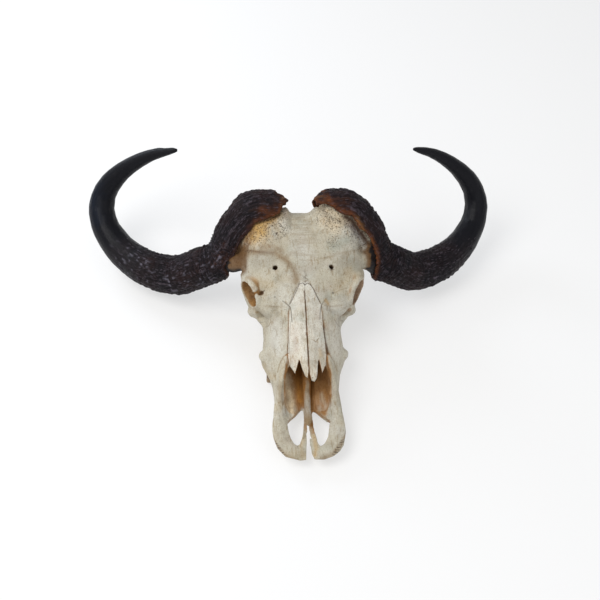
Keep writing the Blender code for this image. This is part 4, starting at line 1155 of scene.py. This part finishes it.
class Paint:
    """A material built node by node."""

    def __init__(self, name):
        self.material = bpy.data.materials.new(name)
        self.material.use_nodes = True

    def put(self, kind, inputs, **settings):
        return put(self.material.node_tree, kind, inputs, **settings).outputs

    def attribute(self, name, output="Fac"):
        return self.put("ShaderNodeAttribute", {}, attribute_name=name)[output]

    def place(self, stretch=(1, 1, 1), source=None):
        if source is None:
            source = self.put("ShaderNodeTexCoord", {})["Object"]
        return self.put("ShaderNodeMapping", {"Vector": source, "Scale": stretch})["Vector"]

    def noise(self, place, pattern, detail=3.0, rough=0.55):
        return self.put("ShaderNodeTexNoise", {
            "Vector": place, "Scale": PATTERNS[pattern], "Detail": detail,
            "Roughness": rough})["Fac"]

    def cells(self, place, pattern):
        found = self.put("ShaderNodeTexVoronoi", {"Vector": place, "Scale": PATTERNS[pattern]})
        return found["Distance"], found["Color"]

    def span(self, value, low, high, to_low=0.0, to_high=1.0):
        return self.put("ShaderNodeMapRange", {
            "Value": value, "From Min": low, "From Max": high, "To Min": to_low,
            "To Max": to_high}, interpolation_type="SMOOTHSTEP")["Result"]

    def maths(self, kind, first, second):
        return self.put("ShaderNodeMath", {0: first, 1: second}, operation=kind)[0]

    def times(self, first, second):
        return self.maths("MULTIPLY", first, second)

    def mix(self, share, first, second, kind="MIX"):
        return self.put("ShaderNodeMix", {0: share, 6: first, 7: (*second, 1)},
                        data_type="RGBA", blend_type=kind)[2]

    def finish(self, colour, dull, shine, height, relief, strength):
        """Lead everything to the shader, with the height as bump."""
        tree = self.material.node_tree
        normal = self.put("ShaderNodeBump", {
            "Strength": strength, "Distance": relief, "Height": height})["Normal"]
        feed(tree, tree.nodes["Principled BSDF"], {
            "Base Color": colour, "Roughness": dull, "Specular IOR Level": shine,
            "Normal": normal})
        return self.material


def bone_paint(name, roughness, grain=1.0):
    """Dry bone: the tint, with fine blotches, specks, streaks, pores and wrinkles."""
    paint = Paint(name)
    here = paint.place()
    blotch = paint.noise(here, "blotch", 4)
    fine = paint.noise(here, "fine", 3, 0.6)
    speck = paint.noise(paint.place((1.0, 0.6, 0.8)), "speck", 1, 0.5)
    streak = paint.noise(paint.place((1.0, 0.12, 0.5)), "streak", 2)
    gap, dice = paint.cells(here, "pore")
    small_gap, small_dice = paint.cells(here, "small pore")
    pore = paint.times(paint.span(gap, 0.14, 0.40, 1, 0), paint.span(dice, 0.15, 0.45))
    small = paint.times(paint.span(small_gap, 0.16, 0.42, 0.85, 0),
                        paint.span(small_dice, 0.25, 0.5))
    pore = paint.times(paint.maths("MAXIMUM", pore, small), paint.attribute("porous"))
    wave = paint.noise(paint.place((0.10, 1.0, 1.0)), "wrinkle", 2, 0.4)
    wrinkle = paint.times(paint.span(wave, 0.42, 0.60), paint.attribute("wrinkled"))
    colour = paint.attribute("tint", "Color")
    colour = paint.mix(paint.span(blotch, 0.45, 0.75, 0, 0.30), colour, SAND, "MULTIPLY")
    colour = paint.mix(paint.span(fine, 0.48, 0.75, 0, 0.60), colour, DIRT, "MULTIPLY")
    colour = paint.mix(paint.span(streak, 0.55, 0.72, 0, 0.60), colour, DIRT, "MULTIPLY")
    colour = paint.mix(paint.span(speck, 0.66, 0.72, 0, 0.75), colour, DIRT, "MULTIPLY")
    # painted shade: the pores are darkened with umber
    colour = paint.mix(paint.times(pore, 0.92), colour, UMBER)
    colour = paint.mix(paint.times(wrinkle, 0.26), colour, SAND)
    dull = paint.span(fine, 0.3, 0.7, roughness - 0.08, roughness + 0.08)
    height = paint.maths("SUBTRACT", paint.times(fine, 0.35 * grain), pore)
    height = paint.maths("ADD", height, paint.times(wrinkle, 0.5))
    height = paint.maths("ADD", height, paint.times(streak, 0.35))
    return paint.finish(colour, dull, 0.24, height, BONE_RELIEF, 0.85)


def horn_paint(name):
    """Black keratin: fibrous and dull at the base, smooth and satin towards the tips."""
    paint = Paint(name)
    rough = paint.attribute("rough")
    along = paint.attribute("grain", "Vector")
    fibre = paint.noise(paint.place((0.10, 1, 1), along), "fibre", 4, 0.65)
    coarse = paint.noise(paint.place((0.22, 1, 1), along), "coarse fibre", 3, 0.6)
    fleck = paint.noise(paint.place((0.35, 1, 1), along), "fleck", 2, 0.7)
    gloss = paint.noise(paint.place((0.04, 1, 1), along), "gloss", 2, 0.5)
    colour = paint.attribute("tint", "Color")
    # painted highlight: the colour is lit up on the coarse fibres and paled on flecks and on the
    # larger laid fibres
    colour = paint.mix(paint.span(coarse, 0.40, 0.72, 0, 0.6), colour, LIT_FIBRE, "MULTIPLY")
    pale = paint.times(paint.span(fleck, 0.56, 0.70, 0, 0.55), rough)
    laid = paint.span(paint.attribute("fibre"), 0.75, 1.35, 0, 0.42)
    colour = paint.mix(paint.maths("MAXIMUM", pale, laid), colour, PALE_FLECK_HIGHLIGHT)
    colour = paint.mix(paint.span(fibre, 0.52, 0.70, 0, 0.6), colour, BLACK_HORN)
    dull = paint.maths("ADD", paint.times(rough, 0.20), paint.span(gloss, 0.3, 0.7, 0.34, 0.46))
    height = paint.times(paint.maths("ADD", fibre, coarse), paint.maths("MAXIMUM", rough, 0.10))
    return paint.finish(colour, dull, 0.15, height, HORN_RELIEF, 1.0)


def make_bone(kind, name, node, base, slot):
    """One bone that is a piece by itself, from its solid to its finish."""
    piece = new_skin(kind, (node,))[0]
    shape_bone(piece)
    paint_bone(piece, kind, base)
    finish_piece(piece, name, node, slot)


def make_skull():
    """Braincase and upper jaws, skinned as one and then parted."""
    skull = new_skin("skull", ("cranium", "maxilla_left", "maxilla_right"))[0]
    shape_bone(skull)
    for node, piece in parted(skull).items():
        lighten(piece, MOST_TRIANGLES)
        paint_bone(piece, "skull", IVORY)
        if node == "cranium":
            finish_piece(piece, "braincase", node, "bone")
        else:
            finish_piece(piece, node.replace("maxilla", "upper_jaw"), node, "bone_cream")


def make_horn(word, side):
    """One sheath, from its solid to its finish."""
    piece, sharp = new_skin("horn", ("horn_" + word,))
    dress_horn(piece, word, side, sharp)
    lighten(piece, HORN_TRIANGLES)
    lay_fibres(piece, side)
    finish_piece(piece, "horn_sheath_" + word, "horn_" + word, "horn_sheath")


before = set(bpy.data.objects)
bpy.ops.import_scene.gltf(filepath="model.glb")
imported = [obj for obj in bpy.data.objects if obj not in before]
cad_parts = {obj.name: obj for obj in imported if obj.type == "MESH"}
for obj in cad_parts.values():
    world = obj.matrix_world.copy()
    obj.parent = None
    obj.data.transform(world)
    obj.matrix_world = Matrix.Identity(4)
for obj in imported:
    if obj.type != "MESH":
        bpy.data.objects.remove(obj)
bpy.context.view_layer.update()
set_camera()
set_stage()

CAD_TREE = tree_of([node.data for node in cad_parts.values()])
FIBRE_TREE, FIBRE_KEYS = fibre_tree()
FINISHES = {"bone": bone_paint("dry_bone", 0.62), "bone_cream": bone_paint("jaw_bone", 0.58, 0.8),
            "bone_stained": bone_paint("stained_bone", 0.7),
            "horn_sheath": horn_paint("black_horn")}

make_skull()
for word, side in SIDES:
    make_bone("premaxilla", "premaxilla_bone_" + word, "premaxilla_" + word, IVORY, "bone_cream")
    make_bone("nasal", "nasal_bone_" + word, "nasal_" + word, BLEACHED, "bone")
    make_horn(word, side)
make_bone("vomer", "nose_keel", "vomer", SAND, "bone_stained")
